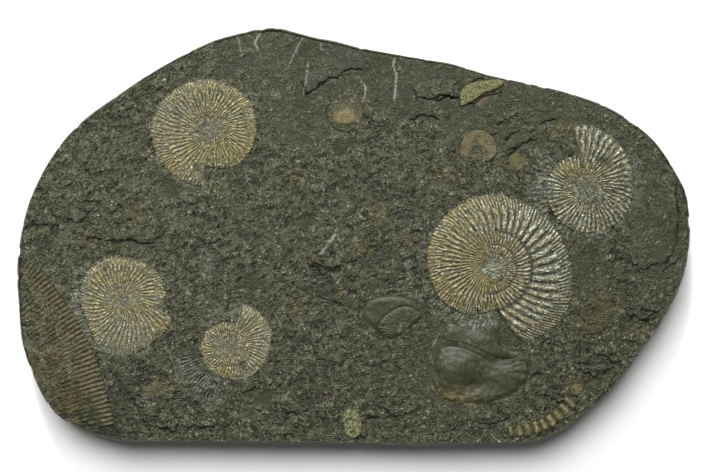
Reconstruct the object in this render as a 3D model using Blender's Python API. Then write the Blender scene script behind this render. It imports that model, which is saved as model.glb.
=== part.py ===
"""Slab of dark shale with flattened Dactylioceras ammonites and other shells in its face.

The slab lies on its back. X runs along it, Y goes from its sawn lower edge to its rounded upper edge, and Z
comes out of the face that holds the fossils. The origin is on the back, under the middle of the outline.
"""
import math

import bmesh
import bpy
import numpy as np

# driving dimensions, in metres
LENGTH = 0.300
WIDTH = 0.186
THICKNESS = 0.020
RIM_DEPTH = 0.0014
RIM_INSET = 0.0009
EDGE_SPACING = 0.009
FOSSIL_DEPTH = 0.0013
GAP = 0.0003
POCKET_MARGIN = 0.0006

# points and radii below were chosen by hand, in millimetres
MM = 0.001

# outline of the slab, clockwise from its right end
OUTLINE = (
    (150, 2), (149, -8.5), (146.5, -19.5), (142, -30), (136, -40.5), (128, -51.5), (120.5, -62),
    (110.5, -72.5), (97.5, -83.5), (83, -91), (60, -92.5), (29, -93), (-10, -92.5), (-50, -92),
    (-86, -91.5), (-105, -91), (-122, -86), (-132.5, -79.5), (-138, -72.5), (-144, -59.5), (-148, -46),
    (-149.5, -29), (-150, -12.5), (-147, 7), (-142.5, 20.5), (-135.5, 34), (-123.5, 49), (-103.5, 64),
    (-84, 76.5), (-64, 86.5), (-50.5, 90.5), (-37, 93), (-24, 90.5), (-17, 88.5), (-10.5, 87.5), (3, 84),
    (23, 80.5), (43, 77), (49.5, 75.5), (56, 73), (69.5, 70), (89.5, 65.5), (103, 61.5), (116, 56),
    (129.5, 47), (137, 39), (143.5, 28.5), (148.5, 18),
)

# wedges of bedding that stand proud along their lower lip: height of the lip, and their outline
BEDS = {
    "above_lower_left": (0.8, ((-121, 1), (-112, -1.8), (-100, -2), (-90, -2.5), (-84, 1), (-87, 10),
                               (-99, 14), (-113, 12))),
    "top_lip": (0.7, ((-21, 63), (-12, 69.5), (-6, 71), (2, 73.5), (9, 71.5), (12, 77), (0, 80),
                      (-13, 80), (-24, 74))),
    "above_flake": (0.8, ((28, 62), (37, 61), (44, 62), (45, 67), (50, 71), (46, 73.5), (35, 75),
                          (26, 70))),
    "right_smooth": (0.6, ((127, 16), (142.5, 15), (143.5, -2), (139.5, -11.5), (128, -14), (119, -9.5),
                           (123, 3))),
    "right_lumps": (1.0, ((123, -26), (131, -22.5), (138, -26), (135, -33), (128, -37), (120.5, -34))),
    "under_small_right": (0.8, ((99, -51), (109, -48), (117, -51.5), (115, -58), (107, -62), (98, -58))),
    "lower_right": (0.9, ((86, -64), (96, -61.5), (103.5, -65.5), (99, -71), (91, -73.5), (85, -70))),
    "centre": (0.9, ((-20, -10), (-12, -14.5), (-4, -11.5), (5, -9), (9, -1), (-1, 5), (-14, 3))),
    "lower_left": (0.7, ((-103, -62), (-97, -72), (-89, -84), (-79, -86), (-75, -75), (-83, -63),
                         (-94, -57))),
    "lower_middle": (0.7, ((20, -62), (28, -66), (29, -76), (18, -80), (9, -73), (10, -64))),
    "left_ledge": (0.6, ((-133, 10), (-122, 6), (-112, 17), (-104, 22), (-110, 30), (-124, 28))),
}

# the five clear ammonites: centre, direction of the mouth and its lean in degrees, side it coils to (1 is
# anticlockwise towards the mouth), outer radii at every eighth of a turn back from the mouth, how much an
# inner whorl shrinks, ribs in a turn, turns that are ribbed, height of the outer whorl and of its ribs
AMMONITES = {
    "ammonite_large_right": dict(
        centre=(61.5, -13.5), mouth=276, lean=17, side=-1,
        radii=(37.3, 39.1, 35.1, 32.9, 32.4, 31.1, 29.1, 25.8, 19.5), shrink=0.62,
        ribs=40, turns=2.0, height=2.3, rib=0.32),
    "ammonite_upper_right": dict(
        centre=(103, 21.5), mouth=102, lean=-3, side=1,
        radii=(29.6, 25.6, 21.9, 21.8, 20.9, 19.5, 17.9, 17.4, 15), shrink=0.6,
        ribs=34, turns=1.5, height=1.5, rib=0.28),
    "ammonite_upper_left": dict(
        centre=(-63, 47), mouth=262, lean=-6, side=1,
        radii=(25.3, 27.1, 27.5, 24.9, 22.6, 21.8, 20.4, 19.5, 16.4), shrink=0.62,
        ribs=40, turns=1.5, height=1.6, rib=0.2),
    "ammonite_lower_left": dict(
        centre=(-102, -28.5), mouth=345, lean=0, side=1,
        radii=(24, 23.5, 25.3, 19.5, 20.9, 21.3, 19.5, 20.4, 17.8), shrink=0.62,
        ribs=40, turns=1.5, height=1.6, rib=0.2),
    "ammonite_lower_middle": dict(
        centre=(-54.5, -49), mouth=80, lean=0, side=1,
        radii=(20.9, 20.4, 17.8, 16.4, 15.1, 14.7, 14, 12.9, 11.1), shrink=0.6,
        ribs=36, turns=1.5, height=1.4, rib=0.2),
    "ammonite_small_right": dict(
        centre=(106, -35.5), mouth=215, lean=0, side=-1,
        radii=(8.2, 8.6, 8.6, 8.4, 8.2, 7.8, 7, 6.2, 4.6), shrink=0.5,
        ribs=15, turns=0.95, height=1.2, rib=0.16),
}

# stretches of ribbed whorl: their two edges, ribs, height and rib height
WHORLS = {
    "whorl_left_edge": dict(
        right=((-145.5, -11), (-139.5, -15), (-133.5, -22), (-127.5, -30), (-120.5, -41), (-116, -50),
               (-111.5, -63), (-108, -75), (-106, -84)),
        left=((-147, -17), (-143.5, -27), (-137.5, -36), (-133.5, -43.5), (-130, -56.5), (-125.5, -69),
              (-120, -78), (-114, -84.5)),
        ribs=27, height=1.2, rib=0.24),
    "whorl_lower_right": dict(
        right=((68, -84.5), (76, -83.8), (84, -80.8), (90.5, -76), (95.5, -70)),
        left=((69, -89.3), (78, -88.8), (88, -85.2), (95, -79.8), (101.5, -72.5)),
        ribs=9, height=1.3, rib=0.35),
}

# low shells and crusts: outline, crown that it rises to, height at the edge and at each step inwards, and
# the height of the ribs or lumps round it
SHELLS = {
    "mussel_lower": dict(
        outline=((38, -50.5), (35.5, -62), (35.5, -68.5), (41, -72), (48, -74.5), (58.5, -74), (69, -72),
                 (76.5, -65.5), (78.5, -58.5), (75.5, -55), (65.5, -57.5), (60.5, -55), (53.5, -51.5),
                 (45.5, -49)),
        crown=(46.5, -60), steps=((0, 0.5), (0.2, 1.9), (0.42, 2.3), (0.66, 2.9)), top=3.1, ripple=0,
        spacing=5.5),
    "mussel_upper": dict(
        outline=((40.5, -46.3), (39, -41.5), (41.5, -38), (48, -40), (54.5, -41.5), (60, -38.5),
                 (62.8, -38.6), (63, -44.5), (66, -49.5), (75, -51.5), (74, -53), (66, -55.2),
                 (60.5, -52.7), (53.5, -49.3), (45.5, -46.8)),
        crown=(52, -45.5), steps=((0, 0.4), (0.3, 1.5), (0.62, 1.9)), top=2.1, ripple=0, spacing=5.5),
    "ammonite_small_middle": dict(
        outline=((4, -37), (4.2, -32.6), (6, -29.3), (10, -27), (16.2, -26.3), (22, -26.6), (28, -29.8),
                 (31.3, -35.4), (27, -39.5), (23.9, -41.7), (20.3, -44.6), (15.7, -46), (10, -42.5)),
        crown=(19, -37), steps=((0, 0.35), (0.35, 1.3), (0.7, 1.5)), top=1.2, ripple=0.16, spacing=2.7),
    "ammonite_small_upper": dict(
        outline=((47, 38), (48.5, 43.5), (53, 47), (59, 46.5), (63, 42), (63.5, 36.5), (59, 32),
                 (52, 31.5), (48, 34)),
        crown=(55.5, 37.5), steps=((0, 0.25), (0.35, 1.0), (0.7, 0.8)), top=0.4, ripple=0.12, spacing=3),
    "shell_upper": dict(
        outline=((-11, 50.5), (-12, 55), (-10, 60), (-5.5, 63.5), (0.5, 62.5), (4, 58), (4, 51.5),
                 (0, 47.5), (-6.5, 46.5)),
        crown=(-4.5, 53), steps=((0, 0.25), (0.4, 1.0)), top=1.2, ripple=0, spacing=4.5),
    "pyrite_crust_lower": dict(
        outline=((-4.5, -78), (-2, -76), (2, -77), (3.8, -81.5), (3.5, -87.5), (-0.5, -90), (-4, -88),
                 (-5.2, -83.5)),
        crown=(-0.8, -83), steps=((0, 0.3), (0.4, 1.1)), top=1.2, ripple=0.22, spacing=3),
    "pyrite_crust_upper": dict(
        outline=((47.3, 57.5), (47.3, 64.3), (51.5, 68), (59, 69.5), (66, 69.5), (66.5, 66.8),
                 (58, 62.8), (51.5, 59)),
        crown=(54.5, 64.5), steps=((0, 0.3), (0.45, 1.2)), top=1.3, ripple=0.2, spacing=3),
}

# base colour, roughness and metallic value of each material
FINISHES = {
    "dark shale": ((0.068, 0.070, 0.052), 0.55, 0.0),
    "golden pyritised shell": ((0.27, 0.235, 0.135), 0.42, 0.35),
    "silvery pyritised shell": ((0.30, 0.285, 0.20), 0.38, 0.4),
    "brown shell": ((0.085, 0.072, 0.038), 0.6, 0.0),
    "dark mussel shell": ((0.066, 0.072, 0.052), 0.45, 0.0),
    "tan shell": ((0.16, 0.14, 0.085), 0.55, 0.0),
    "pyrite crust": ((0.20, 0.20, 0.115), 0.5, 0.3),
}
FINISH_OF = {
    "shale_slab": "dark shale",
    "ammonite_large_right": "silvery pyritised shell",
    "ammonite_upper_right": "silvery pyritised shell",
    "ammonite_upper_left": "golden pyritised shell",
    "ammonite_lower_left": "golden pyritised shell",
    "ammonite_lower_middle": "golden pyritised shell",
    "ammonite_small_right": "brown shell",
    "whorl_left_edge": "brown shell",
    "whorl_lower_right": "brown shell",
    "mussel_lower": "dark mussel shell",
    "mussel_upper": "dark mussel shell",
    "ammonite_small_middle": "dark mussel shell",
    "ammonite_small_upper": "tan shell",
    "shell_upper": "tan shell",
    "pyrite_crust_lower": "pyrite crust",
    "pyrite_crust_upper": "pyrite crust",
}


def clear_scene():
    for leftover in list(bpy.data.objects):
        bpy.data.objects.remove(leftover, do_unlink=True)


def new_collection(name):
    collection = bpy.data.collections.new(name)
    bpy.context.scene.collection.children.link(collection)
    return collection


def finish(name):
    """The Principled material of that name, made the first time it is asked for."""
    if name in bpy.data.materials:
        return bpy.data.materials[name]
    colour, roughness, metallic = FINISHES[name]
    material = bpy.data.materials.new(name)
    material.use_nodes = True
    shader = material.node_tree.nodes["Principled BSDF"]
    shader.inputs["Base Color"].default_value = (*colour, 1)
    shader.inputs["Roughness"].default_value = roughness
    shader.inputs["Metallic"].default_value = metallic
    return material


def catmull_rom(p0, p1, p2, p3, u):
    """Point at u between p1 and p2, on the smooth curve through all four."""
    return 0.5 * (2 * p1 + (p2 - p0) * u + (2 * p0 - 5 * p1 + 4 * p2 - p3) * u ** 2
                  + (3 * p1 - p0 - 3 * p2 + p3) * u ** 3)


def at_spacing(dense, spacing):
    """A run of points thinned to even steps, from its first point to its last."""
    steps = np.linalg.norm(np.diff(dense, axis=0), axis=1)
    along = np.concatenate(([0], np.cumsum(steps)))
    count = 2 * max(4, round(along[-1] / spacing / 2))
    marks = np.linspace(0, along[-1], count + 1)
    return np.column_stack([np.interp(marks, along, dense[:, k]) for k in (0, 1)])


def smooth_loop(points, spacing):
    """Closed smooth curve through points in millimetres, as evenly spaced points in metres."""
    corners = np.array(points, float) * MM
    count = len(corners)
    dense = [catmull_rom(*(corners[(i + k) % count] for k in (-1, 0, 1, 2)), u)
             for i in range(count) for u in np.linspace(0, 1, 12, endpoint=False)]
    dense.append(dense[0])
    return at_spacing(np.array(dense), spacing)[:-1]


def smooth_line(points, count):
    """Open smooth curve through points in millimetres, as count + 1 evenly spaced points in metres."""
    corners = np.array(points, float) * MM
    padded = np.vstack((2 * corners[0] - corners[1], corners, 2 * corners[-1] - corners[-2]))
    dense = [catmull_rom(*padded[i:i + 4], u)
             for i in range(len(corners) - 1) for u in np.linspace(0, 1, 12, endpoint=False)]
    dense = np.array(dense + [corners[-1]])
    length = np.linalg.norm(np.diff(dense, axis=0), axis=1).sum()
    return at_spacing(dense, length / count)


def anticlockwise(loop):
    x, y = loop[:, 0], loop[:, 1]
    area = (x * np.roll(y, -1) - np.roll(x, -1) * y).sum()
    return loop if area > 0 else loop[::-1]


def outset(loop, distance):
    """Closed loop moved outwards by a distance, which may differ from point to point."""
    loop = anticlockwise(np.array(loop))
    along = np.roll(loop, -1, axis=0) - loop
    along /= np.linalg.norm(along, axis=1)[:, None]
    out = np.column_stack((along[:, 1], -along[:, 0]))
    before = np.roll(out, 1, axis=0)
    mitre = (out + before) / np.maximum(0.6, 1 + (out * before).sum(axis=1))[:, None]
    return loop + mitre * np.reshape(distance, (-1, 1))


def face_height(x, y):
    """Height of the shale's face: low swells and lumps across a nearly flat bedding plane."""
    swell = 0.3 * math.sin(x / (34 * MM) + 1.3) * math.cos(y / (27 * MM) - 0.4)
    ripple = 0.2 * math.sin(x / (15 * MM) - y / (19 * MM))
    lumps = 0.2 * math.sin(x / (7.5 * MM) + 2 * math.sin(y / (20 * MM))) * math.sin(y / (7 * MM) + 0.8)
    return THICKNESS + (swell + ripple + lumps) * MM


def new_object(name, mesh_data, collection):
    """Object whose mesh is what the bmesh holds, with its faces turned outwards."""
    bmesh.ops.recalc_face_normals(mesh_data, faces=mesh_data.faces)
    mesh = bpy.data.meshes.new(name)
    mesh_data.to_mesh(mesh)
    mesh_data.free()
    piece = bpy.data.objects.new(name, mesh)
    collection.objects.link(piece)
    return piece


def ring(mesh_data, loop, heights):
    heights = np.broadcast_to(heights, len(loop))
    return [mesh_data.verts.new((x, y, z)) for (x, y), z in zip(loop, heights)]


def bridge(mesh_data, low, high):
    """Wall between two closed rings with the same number of points."""
    for i in range(len(low)):
        k = (i + 1) % len(low)
        mesh_data.faces.new((low[i], low[k], high[k], high[i]))


def close_below(mesh_data, rim):
    """Walls from a closed rim down to the fossil's foot, and the flat face that it lies on."""
    foot_height = THICKNESS - FOSSIL_DEPTH
    foot = [mesh_data.verts.new((vert.co.x, vert.co.y, foot_height)) for vert in rim]
    bridge(mesh_data, foot, rim)
    mesh_data.faces.new(foot)


def prism(name, loop, low, high, collection):
    """Upright block with the loop as its outline; its top may slope."""
    block = bmesh.new()
    loop = anticlockwise(loop)
    foot = ring(block, loop, low)
    top = ring(block, loop, high)
    bridge(block, foot, top)
    block.faces.new(foot)
    block.faces.new(top)
    return new_object(name, block, collection)


def slab(collection):
    """The plate: an upright edge that leans out a little along the sawn and the lower right sides, a worn
    rim, and a face with low swells."""
    loop = anticlockwise(smooth_loop(OUTLINE, EDGE_SPACING))
    loop = (loop - (loop.max(axis=0) + loop.min(axis=0)) / 2) * (
        np.array((LENGTH, WIDTH)) / (loop.max(axis=0) - loop.min(axis=0)))
    facing = (loop - np.roll(loop, 3, axis=0))[:, 0]
    facing = np.clip(facing / np.abs(facing).max(), 0, 1)
    wall_top = outset(loop, -(0.1 + 0.8 * facing) * MM)
    rim = outset(wall_top, -RIM_INSET)
    plate = bmesh.new()
    foot = ring(plate, loop, 0)
    shoulder = ring(plate, wall_top, THICKNESS - RIM_DEPTH)
    edge = ring(plate, rim, [face_height(x, y) - 0.4 * MM for x, y in rim])
    bridge(plate, foot, shoulder)
    bridge(plate, shoulder, edge)
    plate.faces.new(foot)
    first_edge = plate.edges.get((edge[0], edge[1]))
    plate.edges.index_update()
    rim_edges = [plate.edges.get((edge[i - 1], edge[i])).index for i in range(len(edge))]
    active = first_edge.index
    piece = new_object("shale_slab", plate, collection)
    fill_face(piece, rim_edges, active)
    for vert in piece.data.vertices:
        if vert.index >= 3 * len(loop):
            vert.co.z = face_height(vert.co.x, vert.co.y)
    return piece


def fill_face(piece, rim_edges, active):
    """Closes the open top of the slab with a net of quads."""
    bpy.ops.object.select_all(action="DESELECT")
    bpy.context.view_layer.objects.active = piece
    piece.select_set(True)
    bpy.ops.object.mode_set(mode="EDIT")
    bpy.ops.mesh.select_mode(type="EDGE")
    bpy.ops.mesh.select_all(action="DESELECT")
    bpy.ops.object.mode_set(mode="OBJECT")
    for index in rim_edges:
        piece.data.edges[index].select = True
    bpy.ops.object.mode_set(mode="EDIT")
    bpy.ops.mesh.fill_grid(span=len(rim_edges) // 5, offset=0)
    bpy.ops.object.mode_set(mode="OBJECT")
    piece.select_set(False)


def bed(name, lip, outline, collection):
    """Wedge of bedding: its top falls away from the lower lip until it runs into the face."""
    loop = smooth_loop(outline, 6 * MM)
    south, north = loop[:, 1].min(), loop[:, 1].max()
    heights = [face_height(x, y) + (lip - 1.6 * lip * (y - south) / (north - south)) * MM
               for x, y in anticlockwise(loop)]
    return prism("bed_" + name, loop, THICKNESS - 4 * MM, heights, collection)


def edge_radius(radii, shrink, back):
    """Radius of the outer edge, back turns behind the mouth: between the radii in the first turn, and on a
    logarithmic spiral after it."""
    if back >= 1:
        return radii[-1] * shrink ** (back - 1)
    eighth = min(int(back * 8), 7)
    around = (2 * radii[0] - radii[1], *radii, radii[-1] * shrink ** 0.125)
    return catmull_rom(*around[eighth:eighth + 4], back * 8 - eighth)


def ammonite(name, collection, centre, mouth, lean, side, radii, shrink, ribs, turns, height, rib):
    """Flattened coil, with a line of points on each rib and in each furrow. The inner edge of a whorl is
    the outer edge of the next one."""
    stations = 2 * ribs
    last = round(turns * stations)
    rows = (0, 0.3, 0.75) if height > 2 else (0, 0.45)
    shape = {0: 0.35, 0.3: 0.9, 0.45: 1.0, 0.75: 1.0}
    coil = bmesh.new()

    def place(station, across):
        back = station / stations
        outer = edge_radius(radii, shrink, back)
        radius = outer + (edge_radius(radii, shrink, back + 1) - outer) * across
        behind = 360 * back + lean * (1 - across) * max(0, 1 - 5 * back)
        angle = math.radians(mouth - side * behind)
        whorl = height * (0.45 + 0.55 * outer / radii[0])
        ribbing = rib * (1 if station % 2 == 0 else -1) * (0.5 if across == 0 else 1)
        x = (centre[0] + radius * math.cos(angle)) * MM
        y = (centre[1] + radius * math.sin(angle)) * MM
        inner_suture = 1.5 if across == 0 and back >= 1 else 1
        return x, y, THICKNESS + (whorl * shape[across] * inner_suture + ribbing) * MM

    net = {(station, 0): coil.verts.new(place(station, 0)) for station in range(last + stations + 1)}
    for station in range(last + 1):
        for k in range(1, len(rows)):
            net[station, k] = coil.verts.new(place(station, rows[k]))
        net[station, len(rows)] = net[station + stations, 0]
    for station in range(last):
        for k in range(len(rows)):
            coil.faces.new((net[station, k], net[station, k + 1], net[station + 1, k + 1],
                            net[station + 1, k]))
    hollow = [net[station, 0] for station in range(last, last + stations + 1)]
    hollow += [net[last, k] for k in range(len(rows) - 1, 0, -1)]
    middle = coil.verts.new((centre[0] * MM, centre[1] * MM, THICKNESS + 0.45 * height * MM))
    for i in range(len(hollow)):
        coil.faces.new((hollow[i - 1], hollow[i], middle))
    rim = [net[station, 0] for station in range(stations + 1)]
    rim += [net[0, k] for k in range(len(rows) - 1, 0, -1)]
    close_below(coil, rim)
    sparse = [*range(0, stations - 1, 3), *range(stations, len(rim))]
    footprint = [tuple(rim[i].co.xy) for i in sparse]
    return new_object(name, coil, collection), np.array(footprint)


def whorl(name, collection, right, left, ribs, height, rib):
    """Stretch of a broad ribbed whorl between two edges."""
    stations = 2 * ribs
    edges = smooth_line(right, stations), smooth_line(left, stations)
    rows = ((0, 0.35), (0.35, 1), (0.7, 0.9), (1, 0.35))
    strip = bmesh.new()
    net = []
    for station in range(stations + 1):
        start, end = edges[0][station], edges[1][station]
        ribbing = rib if station % 2 else -rib
        net.append([strip.verts.new((*(start + (end - start) * across),
                                     THICKNESS + (height * level + ribbing) * MM))
                    for across, level in rows])
    for station in range(stations):
        for k in range(len(rows) - 1):
            strip.faces.new((net[station][k], net[station][k + 1], net[station + 1][k + 1],
                             net[station + 1][k]))
    rim = [section[0] for section in net] + net[-1][1:-1]
    rim += [section[-1] for section in reversed(net)] + net[0][2:0:-1]
    close_below(strip, rim)
    sparse = list(range(0, stations, 4)) + [stations]
    footprint = [edges[0][i] for i in sparse] + [edges[1][i] for i in reversed(sparse)]
    return new_object(name, strip, collection), np.array(footprint)


def shell(name, collection, outline, crown, steps, top, ripple, spacing):
    """Low dome: its outline drawn in step by step towards the crown."""
    loop = anticlockwise(smooth_loop(outline, spacing * MM))
    crown = np.array(crown) * MM
    lumps = ripple * np.where(np.arange(len(loop)) % 2, 1, -1)
    dome = bmesh.new()
    rings = [ring(dome, loop + (crown - loop) * inwards,
                  THICKNESS + (level + lumps * (0.4 if inwards == 0 else 1)) * MM)
             for inwards, level in steps]
    for low, high in zip(rings, rings[1:]):
        bridge(dome, low, high)
    peak = dome.verts.new((*crown, THICKNESS + top * MM))
    for i in range(len(loop)):
        dome.faces.new((rings[-1][i - 1], rings[-1][i], peak))
    close_below(dome, rings[0])
    return new_object(name, dome, collection), loop


def add_boolean(piece, name, operation, collection):
    boolean = piece.modifiers.new(name, "BOOLEAN")
    boolean.operation = operation
    boolean.solver = "EXACT"
    boolean.operand_type = "COLLECTION"
    boolean.collection = collection


def hide(collection):
    """Cutters and blocks that are joined in are not pieces of their own."""
    for guide in collection.objects:
        guide.hide_render = True
        guide.display_type = "WIRE"


def build():
    clear_scene()
    cluster = new_collection("dactylioceras_cluster")
    beds = new_collection("beds")
    pockets = new_collection("pockets")
    plate = slab(cluster)
    for name, (lip, outline) in BEDS.items():
        bed(name, lip, outline, beds)
    fossils = [ammonite(name, cluster, **sizes) for name, sizes in AMMONITES.items()]
    fossils += [whorl(name, cluster, **sizes) for name, sizes in WHORLS.items()]
    fossils += [shell(name, cluster, **sizes) for name, sizes in SHELLS.items()]
    for fossil, footprint in fossils:
        prism("pocket_" + fossil.name, outset(footprint, POCKET_MARGIN),
              THICKNESS - FOSSIL_DEPTH - GAP, THICKNESS + 6 * MM, pockets)
    hide(beds)
    hide(pockets)
    add_boolean(plate, "beds", "UNION", beds)
    add_boolean(plate, "pockets", "DIFFERENCE", pockets)
    for piece in cluster.objects:
        piece.data.materials.append(finish(FINISH_OF[piece.name]))


build()
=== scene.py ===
import math

import bmesh
import bpy
import numpy as np
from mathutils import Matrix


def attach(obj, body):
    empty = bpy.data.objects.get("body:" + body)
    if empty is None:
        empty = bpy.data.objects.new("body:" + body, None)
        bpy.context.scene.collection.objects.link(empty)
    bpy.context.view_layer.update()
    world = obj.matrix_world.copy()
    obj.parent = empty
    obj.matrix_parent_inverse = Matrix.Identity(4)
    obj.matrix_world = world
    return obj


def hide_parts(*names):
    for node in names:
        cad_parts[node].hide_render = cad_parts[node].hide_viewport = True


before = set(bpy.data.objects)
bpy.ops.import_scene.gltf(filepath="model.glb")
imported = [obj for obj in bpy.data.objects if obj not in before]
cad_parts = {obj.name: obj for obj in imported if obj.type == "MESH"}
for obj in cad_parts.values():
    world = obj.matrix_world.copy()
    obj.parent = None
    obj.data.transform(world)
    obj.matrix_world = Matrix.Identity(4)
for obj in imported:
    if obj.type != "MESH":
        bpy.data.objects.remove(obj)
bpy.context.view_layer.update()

# The shale slab: a plate of dark bituminous shale, split along its bedding, sawn straight along the lower
# edge and ground round on the others. Its face has lips of broken bedding, faint casts of small shells and
# a fine grain, with a flat pocket under each fossil. Every size in this file is in millimetres.
MM = 0.001
FACE = 20.0
FOSSIL_FOOT = FACE - 1.3
POCKET_FLOOR = FACE - 1.6
# the slab's edge: its length, and how many points are on it; the net in its face: its columns, and the
# point of the edge where its corner is
EDGE_LENGTH = 810
AROUND = 960
COLUMNS = 205
CORNER = 57


def smoothstep(low, high, value):
    """0 up to low and 1 from high on, with a soft change between them."""
    share = np.clip((value - low) / (high - low), 0, 1)
    return share * share * (3 - 2 * share)


def bump(value, width):
    """1 at zero, and a smooth fall on both sides of it."""
    return np.exp(-(value / width) ** 2)


def tapered(along, share):
    """1 along a line, with a soft change to 0 over this share of it at both ends."""
    return smoothstep(0, share, along) * (1 - smoothstep(1 - share, 1, along))


def noise(x, y, seed):
    """Smooth chance relief between about -1 and 1, with one lump to a unit."""
    turn = np.random.default_rng(seed).uniform(0, 2 * math.pi, (128, 128))
    column, row = np.floor(x).astype(int), np.floor(y).astype(int)
    u, v = x - column, y - row

    def pull(i, k):
        angle = turn[(column + i) % 128, (row + k) % 128]
        return np.cos(angle) * (u - i) + np.sin(angle) * (v - k)

    fade_u = u ** 3 * (u * (6 * u - 15) + 10)
    fade_v = v ** 3 * (v * (6 * v - 15) + 10)
    low = pull(0, 0) + (pull(1, 0) - pull(0, 0)) * fade_u
    high = pull(0, 1) + (pull(1, 1) - pull(0, 1)) * fade_u
    return 1.5 * (low + (high - low) * fade_v)


def fractal(x, y, size, seed, octaves=4, fade=0.55):
    """Noise whose largest lumps have the given size, with finer and lower ones on them."""
    return sum(noise(x / size * 2 ** k, y / size * 2 ** k, seed + k) * fade ** k for k in range(octaves))


def catmull_rom(p0, p1, p2, p3, u):
    """Point at u between p1 and p2, on the smooth curve through all four."""
    return 0.5 * (2 * p1 + (p2 - p0) * u + (2 * p0 - 5 * p1 + 4 * p2 - p3) * u ** 2
                  + (3 * p1 - p0 - 3 * p2 + p3) * u ** 3)


def evenly(dense, count):
    """A run of points thinned to even steps."""
    along = np.concatenate(([0], np.cumsum(np.linalg.norm(np.diff(dense, axis=0), axis=1))))
    marks = np.linspace(0, along[-1], count + 1)
    return np.column_stack([np.interp(marks, along, dense[:, k]) for k in (0, 1)])


def smooth_loop(corners, count):
    """Closed smooth curve through corners, as count even points."""
    last = len(corners)
    dense = [catmull_rom(*(corners[(i + k) % last] for k in (-1, 0, 1, 2)), u)
             for i in range(last) for u in np.linspace(0, 1, 24, endpoint=False)]
    return evenly(np.array(dense + dense[:1]), count)[:-1]


def smooth_line(corners, count):
    """Open smooth curve through corners, as count + 1 even points."""
    corners = np.array(corners, float)
    padded = np.vstack((2 * corners[0] - corners[1], corners, 2 * corners[-1] - corners[-2]))
    dense = [catmull_rom(*padded[i:i + 4], u)
             for i in range(len(corners) - 1) for u in np.linspace(0, 1, 24, endpoint=False)]
    return evenly(np.array(dense + [corners[-1]]), count)


def foot_outline(node):
    """Outline of a CAD solid's flat foot, anticlockwise seen from above."""
    solid = bmesh.new()
    solid.from_mesh(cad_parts[node].data)
    bmesh.ops.remove_doubles(solid, verts=solid.verts, dist=1e-6)
    low = min(vert.co.z for vert in solid.verts)
    after = {}
    for face in solid.faces:
        if max(vert.co.z for vert in face.verts) < low + 1e-5:
            for corner in face.loops:
                after[corner.vert, corner.link_loop_next.vert] = True
    border = {end: start for start, end in after if (end, start) not in after}
    vert = first = next(iter(border))
    outline = []
    while not outline or vert is not first:
        outline.append(tuple(vert.co.xy))
        vert = border[vert]
    solid.free()
    return np.array(outline) / MM


def beside(x, y, points, closed=False):
    """Distance to a line of points, positive on its left, and the share of the way along it."""
    points = np.array(points, float)
    ends = np.roll(points, -1, axis=0) if closed else points[1:]
    starts = points if closed else points[:-1]
    nearest = np.full(np.shape(x), 1e9)
    signed, along = nearest.copy(), np.zeros(np.shape(x))
    for i, (start, end) in enumerate(zip(starts, ends)):
        run = end - start
        share = np.clip(((x - start[0]) * run[0] + (y - start[1]) * run[1]) / (run @ run), 0, 1)
        dx, dy = x - start[0] - share * run[0], y - start[1] - share * run[1]
        distance = np.hypot(dx, dy)
        closer = distance < nearest - 1e-9
        nearest[closer] = distance[closer]
        signed[closer] = (distance * np.sign(run[0] * dy - run[1] * dx))[closer]
        along[closer] = ((i + share) / len(starts))[closer]
    return signed, along


def within(x, y, outline, reach=4):
    """Distance inside a closed outline, negative outside it, out to a reach past its box."""
    depth = np.full(np.shape(x), -float(reach))
    near = ((x > outline[:, 0].min() - reach) & (x < outline[:, 0].max() + reach)
            & (y > outline[:, 1].min() - reach) & (y < outline[:, 1].max() + reach))
    px, py = x[near], y[near]
    distance = np.abs(beside(px, py, outline, closed=True)[0])
    inside = np.zeros(len(px), bool)
    for (ax, ay), (bx, by) in zip(outline, np.roll(outline, -1, axis=0)):
        crosses = (ay > py) != (by > py)
        inside ^= crosses & (px < ax + (py - ay) * (bx - ax) / (by - ay if by != ay else 1))
    depth[near] = np.where(inside, distance, -distance)
    return depth


# lips of bedding: height of the lip, and the outline of the wedge behind it
LIPS = (
    (0.8, ((-121, 1), (-112, -1.8), (-100, -2), (-90, -2.5), (-84, 1), (-87, 10), (-99, 14), (-113, 12))),
    (0.7, ((-21, 63), (-12, 69.5), (-6, 71), (2, 73.5), (9, 71.5), (12, 77), (0, 80), (-13, 80),
     (-24, 74))),
    (0.8, ((28, 62), (37, 61), (44, 62), (45, 67), (50, 71), (46, 73.5), (35, 75), (26, 70))),
    (0.6, ((127, 16), (142.5, 15), (143.5, -2), (139.5, -11.5), (128, -14), (119, -9.5), (123, 3))),
    (1, ((123, -26), (131, -22.5), (138, -26), (135, -33), (128, -37), (120.5, -34))),
    (0.8, ((99, -51), (109, -48), (117, -51.5), (115, -58), (107, -62), (98, -58))),
    (0.9, ((86, -64), (96, -61.5), (103.5, -65.5), (99, -71), (91, -73.5), (85, -70))),
    (0.9, ((-20, -10), (-12, -14.5), (-4, -11.5), (5, -9), (9, -1), (-1, 5), (-14, 3))),
    (0.7, ((-103, -62), (-97, -72), (-89, -84), (-79, -86), (-75, -75), (-83, -63), (-94, -57))),
    (0.7, ((20, -62), (28, -66), (29, -76), (18, -80), (9, -73), (10, -64))),
    (0.6, ((-133, 10), (-122, 6), (-112, 17), (-104, 22), (-110, 30), (-124, 28))),
)

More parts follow.
